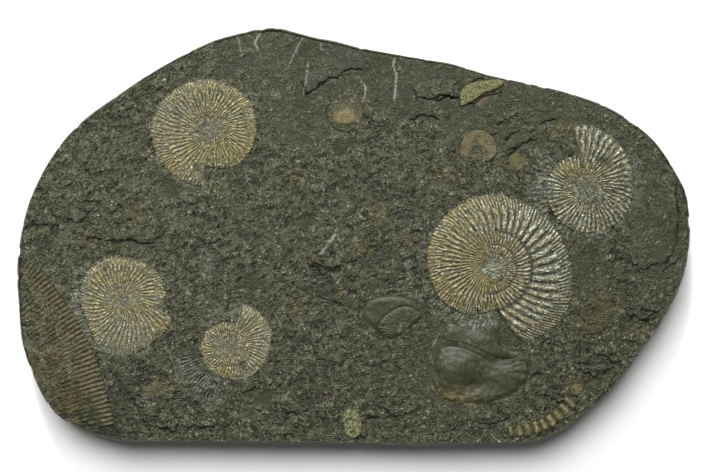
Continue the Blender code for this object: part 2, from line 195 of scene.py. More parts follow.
# small scarps that drop towards the lower edge: height, how far back they run out, and their line
SCARPS = (
    (0.45, 6, ((-19, 64.5), (-15, 68), (-11.5, 70.5), (-7.5, 71), (-4, 74), (2, 74.5), (6.5, 72.5))),
    (0.3, 4, ((3, 55), (6.5, 52.5), (9.5, 51), (12.5, 49))),
    (0.5, 5, ((24.5, 50.5), (27.5, 52.5), (31.5, 54), (35.5, 53), (39, 50.5))),
    (0.5, 4, ((35, 61.5), (39, 63), (43, 61.5), (47.5, 61.5))),
    (0.5, 4, ((47.5, 65), (51, 67), (54.5, 69.5), (58, 70.5))),
    (0.6, 4, ((-15, -9.5), (-12.5, -13), (-9.5, -15), (-7.5, -13))),
    (0.5, 4, ((-21.5, -11.5), (-17, -14), (-13, -16.5), (-8, -14))),
    (0.4, 4, ((1.5, -32), (3.5, -30), (7.5, -28.5))),
    (0.35, 3, ((-10, -28.5), (-7, -30), (-4, -29.5))),
    (0.4, 3, ((-4, -25), (-0.5, -24.5), (3, -24.5))),
    (0.5, 4, ((14, -22), (17.5, -20), (20.5, -19), (24, -19))),
    (0.5, 3, ((127, -31.5), (131.5, -33.5), (135, -33))),
    (0.5, 3, ((127, -36.5), (130.5, -37), (134, -36.5))),
    (0.4, 3, ((114, -27.5), (117.5, -29.5), (121.5, -31))),
    (0.5, 3, ((97, -55), (100.5, -56.5), (105, -56.5))),
    (0.4, 3, ((107.5, -53.5), (111, -53), (115, -55), (118.5, -57.5))),
    (0.5, 3, ((78.5, -62), (81.5, -60.5), (85, -62))),
    (0.3, 3, ((-109, 7), (-105, 6), (-101, 6.5), (-98, 8))),
    (0.4, 4, ((-121, 14.5), (-118, 16), (-114.5, 15), (-111, 16.5))),
    (0.4, 5, ((-147.5, 3.5), (-142, 5), (-135, 5))),
    (0.3, 4, ((-145.5, 20), (-140, 21), (-135, 19.5))),
    (0.4, 3, ((-49, -69.5), (-46, -68.5), (-43, -67))),
    (0.4, 3, ((-39, -56.5), (-36, -55), (-33, -56.5))),
    (0.45, 4, ((55, 41.5), (59, 44), (63, 45))),
    (0.45, 4, ((66.5, 42.5), (70.5, 45.5), (75, 47))),
    (0.3, 3, ((68, 37.5), (71, 39), (73, 41.5))),
    (0.35, 4, ((63, 49.5), (67, 51.5), (74, 54))),
    (0.35, 3, ((45, 35.5), (51, 35), (56, 35.5), (61.5, 37))),
    (0.5, 4, ((67, 35), (70.5, 37.5), (75, 41.5), (79.5, 43), (81, 42.5))),
    (0.35, 4, ((81.5, 49.5), (86.5, 52), (91.5, 51))),
    (0.3, 4, ((-79.5, 16.5), (-72.5, 14.5), (-66.5, 15.5))),
    (0.3, 4, ((-70, -1.5), (-64, -3), (-58.5, -1))),
    (0.3, 4, ((-52.5, -11.5), (-47.5, -13), (-41.5, -11.5))),
    (0.25, 4, ((-46, 11.5), (-40.5, 13.5), (-34.5, 12))),
    (0.25, 3, ((-6, 6.5), (-0.5, 4.5), (5.5, 6.5))),
    (0.3, 3, ((23, 2), (27.5, 3), (33, 2))),
    (0.35, 4, ((-32.5, -77), (-25.5, -79), (-18.5, -76.5))),
    (0.35, 4, ((5, -79.5), (11.5, -81), (19, -79))),
    (0.35, 4, ((51.5, -81.5), (60.5, -83.5), (70.5, -80.5))),
    (0.35, 4, ((-77, -84), (-68, -85), (-58.5, -83))),
)

# open cracks: height, which is below zero, and line
CRACKS = (
    (-0.5, ((-119, 6.5), (-115.5, 3.5), (-112, 0.5))),
    (-0.35, ((-106.5, -60.5), (-101.5, -67.5), (-96, -76), (-92, -84), (-88.5, -89))),
    (-0.4, ((136.5, -16.5), (139, -14), (142.5, -12), (146.5, -9))),
    (-0.4, ((144, 27), (143, 18.5), (144.5, 9.5), (143.5, -1.5))),
    (-0.3, ((47.5, 58), (53.5, 59), (58, 62), (63, 63), (66.5, 64))),
)

# the right edge of the large whorl at the left end, whose ribs run on, fainter, into the shale
LEFT_WHORL = (
    (-145.5, -11), (-139.5, -15), (-133.5, -22), (-127.5, -30), (-120.5, -41), (-116, -50), (-111.5, -63),
    (-108, -75), (-106, -84),
)
LEFT_WHORL_RIBS = 41

# thin raised lines: height and line
RIDGES = (
    (0.35, ((13.5, -23.8), (23.7, -23.8), (27.7, -26.7), (30.4, -31.8))), (0.2, ((-44, 90.5),
    (-39.5, 80.5))), (0.2, ((-29.5, 90.5), (-24.5, 89))), (0.2, ((-22.5, 86), (-25, 79), (-28, 71.5))),
    (0.2, ((-22.5, 78.5), (-21.5, 69.5), (-23, 58.5))), (0.2, ((-16.5, 83.5), (-16.5, 79))), (0.2,
    ((15.5, 76), (17, 69.5), (15, 64), (17, 58.5))), (0.3, ((-16, -9), (-12, -4), (-7.5, 1))), (0.2,
    ((-30, -20.5), (-24, -19), (-18.5, -19), (-13.5, -21))), (0.25, ((-90.5, 60.5), (-92, 55))), (0.3,
    ((46, -38), (51, -39.5), (55.5, -40.5), (58.5, -39), (61, -36.5))),
)

# pale streaks painted as glints along thin ridges: strength, half width and line
GLINT_STREAKS = (
    (0.7, 0.35, ((-52, 89.5), (-50.5, 85), (-49.5, 79))), (0.9, 0.5, ((-39.5, 97), (-41.5, 90), (-44, 86),
    (-42, 82))), (1, 0.6, ((-26.5, 97), (-21, 94.5))), (1, 0.6, ((-21, 92), (-18.5, 90), (-15, 88.5))),
    (0.7, 0.35, ((-20.5, 91), (-24.5, 85), (-27, 79), (-29.5, 74.5))), (0.6, 0.35, ((-20, 78), (-21, 70),
    (-22.5, 62))), (0.5, 0.35, ((-15, 87), (-14, 82))), (0.8, 0.5, ((18.5, 80), (17.5, 76), (19, 72),
    (18.5, 65), (18, 59))), (0.8, 0.45, ((3, 70), (5.5, 66), (5, 62), (3.5, 59))), (1.3, 0.8,
    ((-15.5, -8.5), (-12, -4.5), (-7.5, 1.5))), (0.6, 0.4, ((-7.5, 1.5), (-6, -2), (-5, -5))), (0.5, 0.35,
    ((46, -38), (51, -39.5), (55.5, -40.5))), (0.5, 0.4, ((-30, -20.5), (-24, -19), (-18.5, -19),
    (-13.5, -21))), (0.5, 0.35, ((-90.5, 60.5), (-92, 55))), (0.5, 0.35, ((13.5, -23.8), (19, -23.4),
    (23.7, -24.5), (27.7, -27.5), (30, -31))), (0.5, 0.3, ((38, -43.5), (36.5, -46), (35, -49.5))),
)

# the smooth mass of the two mussel valves, which reaches a little past them: its outline, and its swells
# as height, place, and half lengths
MUSSELS = (
    (41.1, -38), (48.2, -38.7), (55.4, -40.3), (60.3, -36.6), (64.6, -35.9), (64.5, -43), (66, -48.5),
    (73, -51), (78.9, -53.7), (77, -64.3), (69.6, -70), (58.9, -74.3), (48.2, -74.3), (41.1, -72.9),
    (34.7, -67.9), (36.8, -61.5), (35.4, -55.8), (37.6, -50.1), (39, -43),
)
MUSSEL_SWELLS = (
    (1.5, 46, -59.5, 8, 6), (0.5, 50, -54, 9, 4), (0.5, 66, -61.5, 11, 4.5), (-0.5, 53, -65.5, 5, 3),
    (-1.1, 65.5, -55, 5, 1.7), (0.5, 57.5, -46, 5, 3), (0.5, 44, -43, 5, 3), (-0.4, 62, -48, 2.5, 5),
    (0.3, 72, -55, 4, 2), (0.25, 55, -71, 8, 2), (-0.35, 43, -69.5, 5, 2),
)
MUSSEL_FOLDS = (
    (0.42, ((39, -45.6), (44, -46.6), (48.2, -48.7), (52.5, -53), (56, -57), (58, -61))),
    (0.3, ((47, -45.5), (51.5, -48), (55.5, -52), (58.5, -55.5))),
    (0.3, ((50, -44), (54, -46.5), (57.5, -50), (60.5, -53))),
    (0.3, ((58, -38.5), (60, -43), (61, -48), (62, -52.5))),
    (0.25, ((37, -53), (40, -56), (42, -60), (42, -64))),
)

# faint casts of small coils: centre, outer radius, ribs in a turn, rib height, and the arc that shows, as
# its middle direction and half its width in degrees
CASTS = (
    (-10, -15, 9, 44, 0.09, 200, 110), (-19, -29, 9.5, 46, 0.13, 70, 120),
    (-15, -62, 8, 40, 0.07, 90, 120), (-66, -13, 9, 44, 0.07, 60, 120), (-139, 3, 9, 40, 0.1, 300, 100),
    (-44, 27, 10, 48, 0.07, 150, 130), (-6, 17, 7.5, 40, 0.11, 100, 150), (18, 12, 9, 44, 0.08, 20, 120),
    (-90, -66, 9, 44, 0.09, 60, 120), (38, -33, 8, 40, 0.08, 140, 110), (109, -59, 7, 34, 0.08, 80, 120),
    (-18, -67, 9, 40, 0.08, 180, 180), (28, -57, 4.2, 24, 0.1, 180, 180),
    (-18.5, 46, 5.5, 36, 0.08, 180, 180), (-72, -69, 9, 44, 0.1, 240, 80),
    (-46, 5, 8, 40, 0.06, 250, 110), (7, -8, 7, 36, 0.07, 330, 110), (125, -23, 9, 44, 0.09, 150, 120),
    (112, -10, 8, 40, 0.05, 200, 90), (-4, -24, 5, 30, 0.09, 270, 120), (-28, -50, 6, 34, 0.06, 90, 110),
    (14, 22, 8, 40, 0.06, 200, 110), (-54, -49, 26, 96, 0.13, 222, 42), (-145, -6, 9, 40, 0.1, 10, 60),
    (76, 27, 8, 36, 0.1, 330, 100), (100, -46, 7, 34, 0.07, 260, 90),
)

# fringes of silvery rib marks that the clear coils leave in the shale: centre, inner and outer radius, ribs
# in a turn, the middle of the arc and half its width in degrees, and strength
FRINGES = (
    (103, 21.5, 15, 27, 62, 175, 50, 0.7), (103, 21.5, 18, 25, 62, 250, 60, 0.6),
    (103, 21.5, 20, 28, 62, 10, 40, 0.25), (-102, -28.5, 18, 26, 98, 185, 60, 0.8),
    (-102, -28.5, 18, 27, 98, 265, 45, 0.6), (-102, -28.5, 17, 24, 98, 50, 30, 0.6),
    (-63, 47, 21, 29, 110, 215, 45, 0.5), (-63, 47, 21, 26, 110, 120, 40, 0.3),
    (-54.5, -49, 12, 21, 100, 100, 40, 0.45), (-54.5, -49, 15, 30, 104, 225, 45, 0.45),
    (61.5, -13.5, 28, 36, 110, 165, 35, 0.35), (61.5, -13.5, 27, 34, 110, 215, 25, 0.3),
    (61.5, -13.5, 22, 31, 84, 250, 32, 0.75), (-66, -13, 3, 8, 44, 60, 120, 0.25),
    (84, 20, 2, 9, 30, 100, 120, 0.35),
)

# places where the bedding plane is smooth: centre, half lengths and turn in degrees
SMOOTH = (
    (-25, 82, 10, 7, 0), (0, 79, 26, 7, -10), (40, 71, 12, 5, -15), (22, 60, 10, 8, -30),
    (45, 58, 16, 5, -20), (60, 60, 12, 6, -25), (-22, 64, 7, 12, 0), (142, 0, 6, 12, 8),
    (136, -8, 8, 8, 0), (103, -13, 6, 11, 0), (-21.5, 6, 5, 3.5, 40), (-12, -28, 5, 3.5, 0),
    (-45, -20, 8, 5, 20), (72, 36, 8, 5, -20), (66, -46, 7, 7, 0), (-52, 76, 12, 6, 20),
    (118, 40, 6, 5, -40), (-96, -2, 7, 3, 0), (-40, -72, 9, 4, 0), (-80, 22, 10, 6, 20),
    (12, -10, 6, 4, 10), (86, 52, 8, 4, -30), (-4, 40, 7, 5, 20), (104, -66, 6, 4, 35),
)

# wider places where it is only a little flaky: centre, half lengths and turn in degrees
CALM = (
    (-2, 74, 72, 22, -6), (84, 62, 44, 13, -26), (134, 6, 14, 40, 8), (-22, 52, 22, 14, 0),
    (60, 45, 30, 9, -10), (96, -18, 22, 12, 0), (50, -58, 34, 24, 0),
)

# stains of ochre and tan: centre, radius and strength
STAINS = (
    (-26, 26, 2.4, 0.9), (12, 9, 5, 0.5), (36, -67, 1.4, 1), (-8, -70, 1.6, 0.9), (-17, -10, 1.8, 1),
    (-5, -25, 2.6, 0.7), (-26, -34, 3.2, 0.8), (-87, -67, 5, 0.7), (98, -66, 4, 0.8), (57, 60, 3, 0.5),
    (-110, -11, 4, 0.7), (-64, 21, 5, 0.3), (92, 47, 6, 0.3), (45, -66, 3, 0.5), (52, -73, 3.5, 0.6),
    (-24, -29, 4, 0.4), (5, -4, 5, 0.5), (25, -2, 5, 0.45), (40, 27, 6, 0.4), (127, -42, 6, 0.4),
    (112, -30, 7, 0.5), (-96, 10, 5, 0.6), (-118, -2, 4, 0.5), (72, 33, 5, 0.7), (20, -33, 4, 0.3),
    (-40, -40, 6, 0.3), (-2, 59, 5, 0.7), (-138, -58, 14, 0.6), (-136, -34, 12, 0.6),
    (-128, -74, 10, 0.6),
)


def swell(x, y):
    """Low swells of the bedding plane about its mean height."""
    return (0.3 * np.sin(x / 34 + 1.3) * np.cos(y / 27 - 0.4) + 0.2 * np.sin(x / 15 - y / 19)
            + 0.2 * np.sin(x / 7.5 + 2 * np.sin(y / 20)) * np.sin(y / 7 + 0.8))


def smoothness(x, y):
    """1 where the bedding plane is smooth, 0 where it is flaky."""
    smooth, uneven = np.zeros(np.shape(x)), fractal(x, y, 5, 40, 4, 0.65)
    for share, ragged, zones in ((0.8, 0.28, CALM), (1, 0.5, SMOOTH)):
        for cx, cy, long, short, turned in zones:
            turned = math.radians(turned)
            along = (x - cx) * math.cos(turned) + (y - cy) * math.sin(turned)
            across = (y - cy) * math.cos(turned) - (x - cx) * math.sin(turned)
            spread = np.hypot(along / long, across / short) + ragged * uneven
            smooth = np.maximum(smooth, share * (1 - smoothstep(0.6, 1.25, spread)))
    return smooth


def casts(x, y):
    """Ribs and rims of the faint casts, where they lie, and painted shade in their furrows."""
    height, shown, furrow = np.zeros((3, *np.shape(x)))
    for cx, cy, radius, ribs, rib, middle, width in CASTS:
        near = np.hypot(x - cx, y - cy) < radius * 1.1
        px, py = x[near], y[near]
        away, angle = np.hypot(px - cx, py - cy) / radius, np.arctan2(py - cy, px - cx)
        off = np.abs((np.degrees(angle) - middle + 180) % 360 - 180)
        inner = 0.55 if radius > 4.5 else 0.3
        shows = (1 - smoothstep(width * 0.6, width, off)) * smoothstep(inner - 0.12, inner, away)
        shows *= (1 - smoothstep(0.88, 1, away)) * smoothstep(-0.75, -0.25, fractal(px, py, 4, 60, 2))
        ridges = np.cos(ribs * angle + 2.5 * away + 2 * noise(px / 4, py / 4, 64))
        height[near] += shows * rib * (1.8 * ridges + 0.8)
        shown[near] = np.maximum(shown[near], shows)
        furrow[near] = np.maximum(furrow[near], shows * smoothstep(0.2, -0.7, ridges) * (0.35 + 3.5 * rib))
    return height, shown, furrow


def fringes(x, y):
    """Silvery rib marks round the clear coils."""
    silver = np.zeros(np.shape(x))
    for cx, cy, inner, outer, count, middle, width, strength in FRINGES:
        near = np.hypot(x - cx, y - cy) < outer
        px, py = x[near], y[near]
        away, angle = np.hypot(px - cx, py - cy), np.arctan2(py - cy, px - cx)
        off = np.abs((np.degrees(angle) - middle + 180) % 360 - 180)
        kept = smoothstep(inner - 3, inner, away) * (1 - smoothstep(0.5, 1, off / width))
        kept *= smoothstep(outer, (inner + outer) / 2, away + 3 * fractal(px, py, 4, 62, 3))
        rib = 0.5 + 0.5 * np.cos(count * angle + 3 * noise(px / 5, py / 5, 63))
        patchy = smoothstep(-0.6, 0.3, fractal(px, py, 2.2, 68, 3))
        silver[near] = np.maximum(silver[near], strength * kept * rib * patchy)
    return silver


def dark_corner(x, y):
    """1 in the lower left corner, where the stone and the large whorl are darker."""
    return smoothstep(-50, -78, y) * smoothstep(-88, -108, x)


def edge_ribs(x, y, edge, count, seed):
    """Profile of ribs that start at right angles from an edge, and the distance inside that edge."""
    side, along = beside(x, y, edge)
    wander = 0.12 * fractal(x, y, 9, seed, 3)
    return (0.5 - 0.5 * np.cos(2 * math.pi * (count * along + wander))) ** 0.8, -side


def near_line(x, y, line, reach):
    """Which points lie in the box round a line, widened by a reach."""
    low, high = np.min(line, axis=0) - reach, np.max(line, axis=0) + reach
    return (x > low[0]) & (x < high[0]) & (y > low[1]) & (y < high[1])


def mussel_mass(x, y):
    """Height of the mussels' smooth mass over the shale, and where it lies."""
    mass, share = np.zeros(np.shape(x)), np.zeros(np.shape(x))
    near = near_line(x, y, MUSSELS, 3)
    px = x[near] + 0.5 * fractal(x[near], y[near], 3, 66, 3)
    py = y[near] + 0.5 * fractal(x[near], y[near], 3, 69, 3)
    inside = within(px, py, np.array(MUSSELS), 4)
    lump, border = 0.75 * smoothstep(-0.2, 1.6, inside), smoothstep(0, 1, inside)
    for rise, cx, cy, wide, tall in MUSSEL_SWELLS:
        lump += rise * bump(np.hypot((px - cx) / wide, (py - cy) / tall), 1) * smoothstep(0, 3, inside)
    for rise, line in MUSSEL_FOLDS:
        side, along = beside(px, py, line)
        fold = np.where(side > 0, np.exp(-side / 2.5), np.exp(side / 0.7))
        lump += rise * tapered(along, 0.2) * fold * border
    lump += 0.03 * np.cos(2 * math.pi * px / 1.2) * smoothstep(59, 64, px) * border
    mass[near] = lump + 0.1 * fractal(px, py * 1.5, 5, 67, 4) * border
    share[near] = smoothstep(-0.3, 0.6, inside) * (1 - 0.7 * smoothstep(-65, -70, y[near]))
    return mass, share


def flakes(x, y):
    """Thin steps of broken bedding, up or down by one, and the shade at the foot of those that face down."""
    level, above = (3.2 * fractal(x * 0.75, (y + up) * 1.35, 10, 30, 4, 0.62) for up in (0, 0.6))
    step = np.floor(level) + smoothstep(0.42, 0.58, level % 1) - level
    return step, bump(level % 1 - 0.45, 0.13) * smoothstep(0.03, 0.2, above - level)


def shale_face(x, y):
    """Height of the shale's face, and masks of its smooth places, casts, painted shade and fine relief."""
    bend_x, bend_y = fractal(x, y, 4, 10, 3), fractal(x, y, 4, 20, 3)
    ragged_x, ragged_y = x + 0.9 * bend_x, y + 0.9 * bend_y
    mass, fold = mussel_mass(x, y)
    smooth = np.maximum(smoothness(x, y), fold)
    rough = 1 - 0.92 * smooth
    height = FACE + swell(x, y) + mass
    crevice = np.zeros(np.shape(x))
    for lip, outline in LIPS:
        edge = np.array(outline, float)
        near = near_line(x, y, edge, 4)
        depth = within(ragged_x[near], ragged_y[near], edge, 3)
        south, north = edge[:, 1].min(), edge[:, 1].max()
        wedge = np.maximum(0, lip - 1.6 * lip * (y[near] - south) / (north - south))
        height[near] += smoothstep(-0.2, 0.25, depth) * wedge
        # painted shade at the foot of the lip
        crevice[near] = np.maximum(crevice[near], bump(depth + 0.25, 0.35) * np.minimum(1, 1.6 * wedge))
    for drop, reach, line in SCARPS:
        near = near_line(x, y, line, 3 * reach)
        side, along = beside(ragged_x[near], ragged_y[near], line)
        ends = tapered(along, 0.15)
        height[near] += drop * ends * np.where(side > 0, np.exp(-side / reach), 0) * smoothstep(0, 0.35, side)
        height[near] -= 0.5 * drop * ends * np.exp(-np.abs(side + 0.3) / 0.5)
        # painted shade at the foot of the scarp
        crevice[near] = np.maximum(crevice[near], ends * bump(side + 0.1, 0.42) * min(1, 3 * drop))
    for rise, line in CRACKS + RIDGES:
        near = near_line(x, y, line, 3)
        side, along = beside((x + 0.3 * bend_x)[near], (y + 0.3 * bend_y)[near], line)
        mark = tapered(along, 0.1) * bump(side, 0.35)
        height[near] += rise * mark
        # painted shade in the open cracks
        if rise < 0:
            crevice[near] = np.maximum(crevice[near], mark)
    cast, shown, furrow = casts(x, y)
    # painted shade in the casts' furrows
    crevice = np.maximum(crevice, furrow)
    smooth = np.maximum(smooth, 0.85 * shown)
    cast = cast + 0.35 * fringes(x, y)
    near = near_line(x, y, ((-147, -92), (-106, 0)), 3)
    profile, inside = edge_ribs(x[near], y[near], smooth_line(LEFT_WHORL, 35), LEFT_WHORL_RIBS, 700)
    kept = smoothstep(-0.5, 0, inside) * (1 - smoothstep(18, 27, inside))
    kept *= smoothstep(-0.9, 0.1, fractal(x[near], y[near], 8, 65, 3))
    smooth[near] = np.maximum(smooth[near], 0.5 * kept)
    cast[near] += 0.45 * (profile - 0.5) * kept
    shown[near] = np.maximum(shown[near], 0.8 * kept)
    # painted shade in the furrows of the whorl's ribs
    crevice[near] = np.maximum(crevice[near], 0.3 * (1 - profile) * kept)
    step, shade = flakes(ragged_x, ragged_y)
    lumps = 0.5 * fractal(ragged_x * 0.8, ragged_y * 1.25, 3.6, 50, 4, 0.7)
    creased = np.abs(fractal(ragged_x * 0.8, ragged_y * 1.5, 7, 55, 4, 0.6))
    cut = (1 - smoothstep(0, 0.1, creased)) * smoothstep(0, 0.4, fractal(x, y, 12, 58, 2) + 0.3)
    fine = rough * (1 - 0.5 * shown) * (0.36 * step + lumps - 0.3 * cut) + cast
    # painted shade at the foot of flake steps that face down, and in creases
    crevice = np.maximum(crevice, rough * np.maximum(0.9 * shade, 0.8 * cut))
    return height + fine, smooth, shown, crevice, fine


def lit_relief(fine):
    """Fine relief as a value between 0, low, and 1, high; painted as shade where low, highlight where high.
    """
    return np.clip(fine / 0.9 + 0.5, 0, 1)


def deselect():
    bpy.ops.object.select_all(action="DESELECT")


def started(name, primitive, **settings):
    """A new piece, begun as a primitive."""
    deselect()
    primitive(**settings)
    bpy.context.object.name = name
    return bpy.context.object


def places(piece):
    """The piece's points, in millimetres."""
    spots = np.empty(len(piece.data.vertices) * 3, np.float32)
    piece.data.vertices.foreach_get("co", spots)
    return spots.reshape(-1, 3).astype(float) / MM


def put(piece, spots):
    """Moves the piece's points to these places, in millimetres."""
    piece.data.vertices.foreach_set("co", (spots * MM).astype(np.float32).ravel())
    piece.data.update()


def paint(piece, **layers):
    """Keeps values for each point of the piece, for its material to read."""
    for name, values in layers.items():
        kept = piece.data.attributes.new(name, "FLOAT", "POINT")
        kept.data.foreach_set("value", np.asarray(values, np.float32))


def edit(piece, kind, chosen, step, **settings):
    """Takes a modelling step on only these faces or edges of the piece."""
    deselect()
    bpy.context.view_layer.objects.active = piece
    piece.select_set(True)
    bpy.ops.object.mode_set(mode="EDIT")
    bpy.ops.mesh.select_mode(type=kind)
    bpy.ops.mesh.select_all(action="DESELECT")
    bpy.ops.object.mode_set(mode="OBJECT")
    items = piece.data.polygons if kind == "FACE" else piece.data.edges
    items.foreach_set("select", np.asarray(chosen, bool))
    bpy.ops.object.mode_set(mode="EDIT")
    step(**settings)
    bpy.ops.object.mode_set(mode="OBJECT")


def face_outwards():
    """Turns all faces of the piece in hand outwards."""
    bpy.ops.object.mode_set(mode="EDIT")
    bpy.ops.mesh.select_all(action="SELECT")
    bpy.ops.mesh.normals_make_consistent(inside=False)
    bpy.ops.object.mode_set(mode="OBJECT")


def corners_of(piece):
    """For each face of the piece, whether all its points pass a test given point by point."""
    starts = np.empty(len(piece.data.polygons), int)
    piece.data.polygons.foreach_get("loop_start", starts)
    points = np.empty(len(piece.data.loops), int)
    piece.data.loops.foreach_get("vertex_index", points)
    return lambda test: np.minimum.reduceat(test[points].astype(int), starts).astype(bool)


outline = foot_outline("shale_slab")
loop = smooth_loop(outline, AROUND)
low, high = loop.min(axis=0), loop.max(axis=0)
loop = (loop - (low + high) / 2) * (outline.max(axis=0) - outline.min(axis=0)) / (high - low)
along_edge = np.arange(AROUND) * EDGE_LENGTH / AROUND
ahead = np.roll(loop, -1, axis=0) - np.roll(loop, 1, axis=0)
ahead /= np.linalg.norm(ahead, axis=1)[:, None]
outwards = np.column_stack((ahead[:, 1], -ahead[:, 0]))
sawn = smoothstep(0.93, 0.99, np.clip(ahead[:, 0], 0, 1))

# heights of the rows of points in the slab's sides
WALL = (0, 0.5, 1.6, 3.0, 4.6, 6.2, 7.8, 9.4, 11, 12.6, 14.2, 15.6, 16.9, 18, 18.7, 19.2)

slab = started("plate_of_shale", bpy.ops.mesh.primitive_circle_add, vertices=AROUND, radius=0.1,
               fill_type="NOTHING")
bpy.ops.object.mode_set(mode="EDIT")
for row in WALL[1:]:
    bpy.ops.mesh.extrude_region_move(TRANSFORM_OT_translate={"value": (0, 0, MM)})
bpy.ops.object.mode_set(mode="OBJECT")
spots = places(slab).reshape(len(WALL), AROUND, 3)
for k, height in enumerate(WALL):
    up = height / WALL[-1]
    layers = fractal(along_edge / 45, np.full(AROUND, height / 1.1), 1, 70, 3)
    lumps = fractal(along_edge, np.full(AROUND, height * 2), 3, 80, 3)
    chips = smoothstep(0.25, 0.9, fractal(along_edge, np.full(AROUND, 1.0), 9, 90, 3))
    inset = 0.15 * up + (0.2 - 0.15 * sawn) * (layers + 0.4 * lumps + 1)
    inset += 0.7 * chips * smoothstep(13, 19, height)
    inset += 0.6 * smoothstep(17.6, 19.2, height) ** 2 + 0.2 * (1 - smoothstep(0, 0.6, height))
    spots[k, :, :2] = loop - outwards * inset[:, None]
    spots[k, :, 2] = height
rim = spots[-1, :, :2]
spots[-1, :, 2] = np.minimum(shale_face(rim[:, 0], rim[:, 1])[0] - 0.25, FACE + 0.2)
spots[-2, :, 2] = spots[-1, :, 2] - 0.45
put(slab, spots.reshape(-1, 3))

ends = np.empty(len(slab.data.edges) * 2, int)
slab.data.edges.foreach_get("vertices", ends)
ends = ends.reshape(-1, 2)
edit(slab, "EDGE", (ends >= AROUND * (len(WALL) - 1)).all(axis=1),
     bpy.ops.mesh.fill_grid, span=COLUMNS, offset=CORNER)

FOSSILS = [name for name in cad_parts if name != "shale_slab"]
footprints = [foot_outline(name) for name in FOSSILS]
footprints = [smooth_loop(line, max(24, 2 * len(line))) for line in footprints]
wall_points = AROUND * len(WALL)


def pocket_depth(x, y):
    """How far inside the nearest fossil's outline a point lies."""
    return np.max([within(x, y, line) for line in footprints], axis=0)


def in_face():
    """Which of the slab's points lie in its face: those that come after its sides."""
    return np.arange(len(slab.data.vertices)) >= wall_points


def face_points():
    """Where the points in the slab's face are, and how far inside a fossil's outline each lies."""
    x, y = places(slab)[wall_points:, :2].T
    return x, y, pocket_depth(x, y)


edit(slab, "FACE", corners_of(slab)(in_face()), bpy.ops.mesh.vertices_smooth, factor=0.5, repeat=200)
edit(slab, "EDGE", np.concatenate(((ends < AROUND).all(axis=1),
                                   np.zeros(len(slab.data.edges) - len(ends), bool))),
     bpy.ops.mesh.edge_face_add)
hidden = in_face()
hidden[wall_points:] = face_points()[2] > 1.5
edit(slab, "FACE", corners_of(slab)(hidden), bpy.ops.mesh.dissolve_faces, use_verts=False)

# the net is twice as fine round scarps, streaks and casts
x, y, inside = face_points()
marked = (shale_face(x, y)[2] > 0.45) | (fringes(x, y) > 0.25)
for line in [item[-1] for item in GLINT_STREAKS + SCARPS + CRACKS] + [edge + edge[:1] for lip, edge in LIPS]:
    near = near_line(x, y, line, 2)
    marked[near] |= np.abs(beside(x[near], y[near], line)[0]) < 0.9
broken = in_face()
broken[wall_points:] = marked & (inside < 0)
corners = np.empty(len(slab.data.polygons), int)
slab.data.polygons.foreach_get("loop_total", corners)
finer = ~corners_of(slab)(~broken) & (corners == 4) & corners_of(slab)(in_face())
edit(slab, "FACE", finer, bpy.ops.mesh.subdivide, number_cuts=1)
face_outwards()

spots, on_face = places(slab), in_face()
x, y = spots[:, 0], spots[:, 1]
heights, smooth, shown, crevice, fine = shale_face(x, y)
under = smoothstep(0.4, 1.5, pocket_depth(x, y))
spots[on_face, 2] = (heights + (POCKET_FLOOR - heights) * under)[on_face]
put(slab, spots)
smooth[:wall_points] = np.tile(0.4 + 0.35 * sawn, len(WALL))
stained = np.zeros(len(spots))
for cx, cy, radius, strength in STAINS:
    blot = np.hypot(x - cx, y - cy) / radius + 0.5 * fractal(x, y, 2.5, 100, 3)
    stained = np.maximum(stained, strength * (1 - smoothstep(0.4, 1.2, blot)))
pale = 0.75 * fringes(x, y)
# pale streaks painted as glints along thin ridges
for strength, wide, line in GLINT_STREAKS:
    near = near_line(x, y, line, 2)
    px, py = x[near], y[near]
    side, along = beside(px + 0.3 * fractal(px, py, 2, 103, 2), py + 0.3 * fractal(px, py, 2, 105, 2), line)
    mark = 0.8 * strength * bump(side, 0.75 * wide) * tapered(along, 0.1)
    pale[near] = np.maximum(pale[near], mark * smoothstep(-0.3 - strength, 0.1, fractal(px, py, 1.5, 107, 2)))
# painted: shade in crevices and at step feet, shade and highlight from relief, glint streaks in pale
paint(slab, side=~on_face, smooth=smooth, crevice=crevice * on_face, relief=lit_relief(fine * on_face),
      stain=stained * on_face, pale=pale * on_face,
      shell=np.maximum(0.6 * dark_corner(x, y), 0.85 * mussel_mass(x, y)[1]) * on_face)
bpy.ops.object.shade_smooth_by_angle(angle=math.radians(50))


def add(tree, kind, feeds=None, **settings):
    """A node with its settings, and its sockets set to a value or fed from another node's socket."""
    made = tree.nodes.new(kind)
    for name, value in settings.items():
        setattr(made, name, value)
    for socket, value in (feeds or {}).items():
        if isinstance(value, bpy.types.NodeSocket):
            tree.links.new(value, made.inputs[socket])
        else:
            made.inputs[socket].default_value = value
    return made


def mixed(tree, share, first, second):
    """Colour between two others."""
    return add(tree, "ShaderNodeMix", {0: share, 6: first, 7: second}, data_type="RGBA").outputs[2]


def faded(tree, share, first, second):
    """Number between two others."""
    return add(tree, "ShaderNodeMix", {0: share, 2: first, 3: second}, data_type="FLOAT").outputs[0]


def number(tree, operation, *values):
    """Result of a sum on one to three numbers."""
    return add(tree, "ShaderNodeMath", dict(enumerate(values)), operation=operation).outputs[0]


def times(tree, first, second):
    """Product of two numbers."""
    return number(tree, "MULTIPLY", first, second)


def scaled(tree, value, by, plus):
    """A number times another, plus a third."""
    return number(tree, "MULTIPLY_ADD", value, by, plus)


def vector(tree, operation, *values):
    """Result of a sum on two or three vectors."""
    return add(tree, "ShaderNodeVectorMath", dict(enumerate(values)), operation=operation).outputs[0]


def parts(tree, vector):
    """The three numbers in a vector."""
    return add(tree, "ShaderNodeSeparateXYZ", {0: vector}).outputs


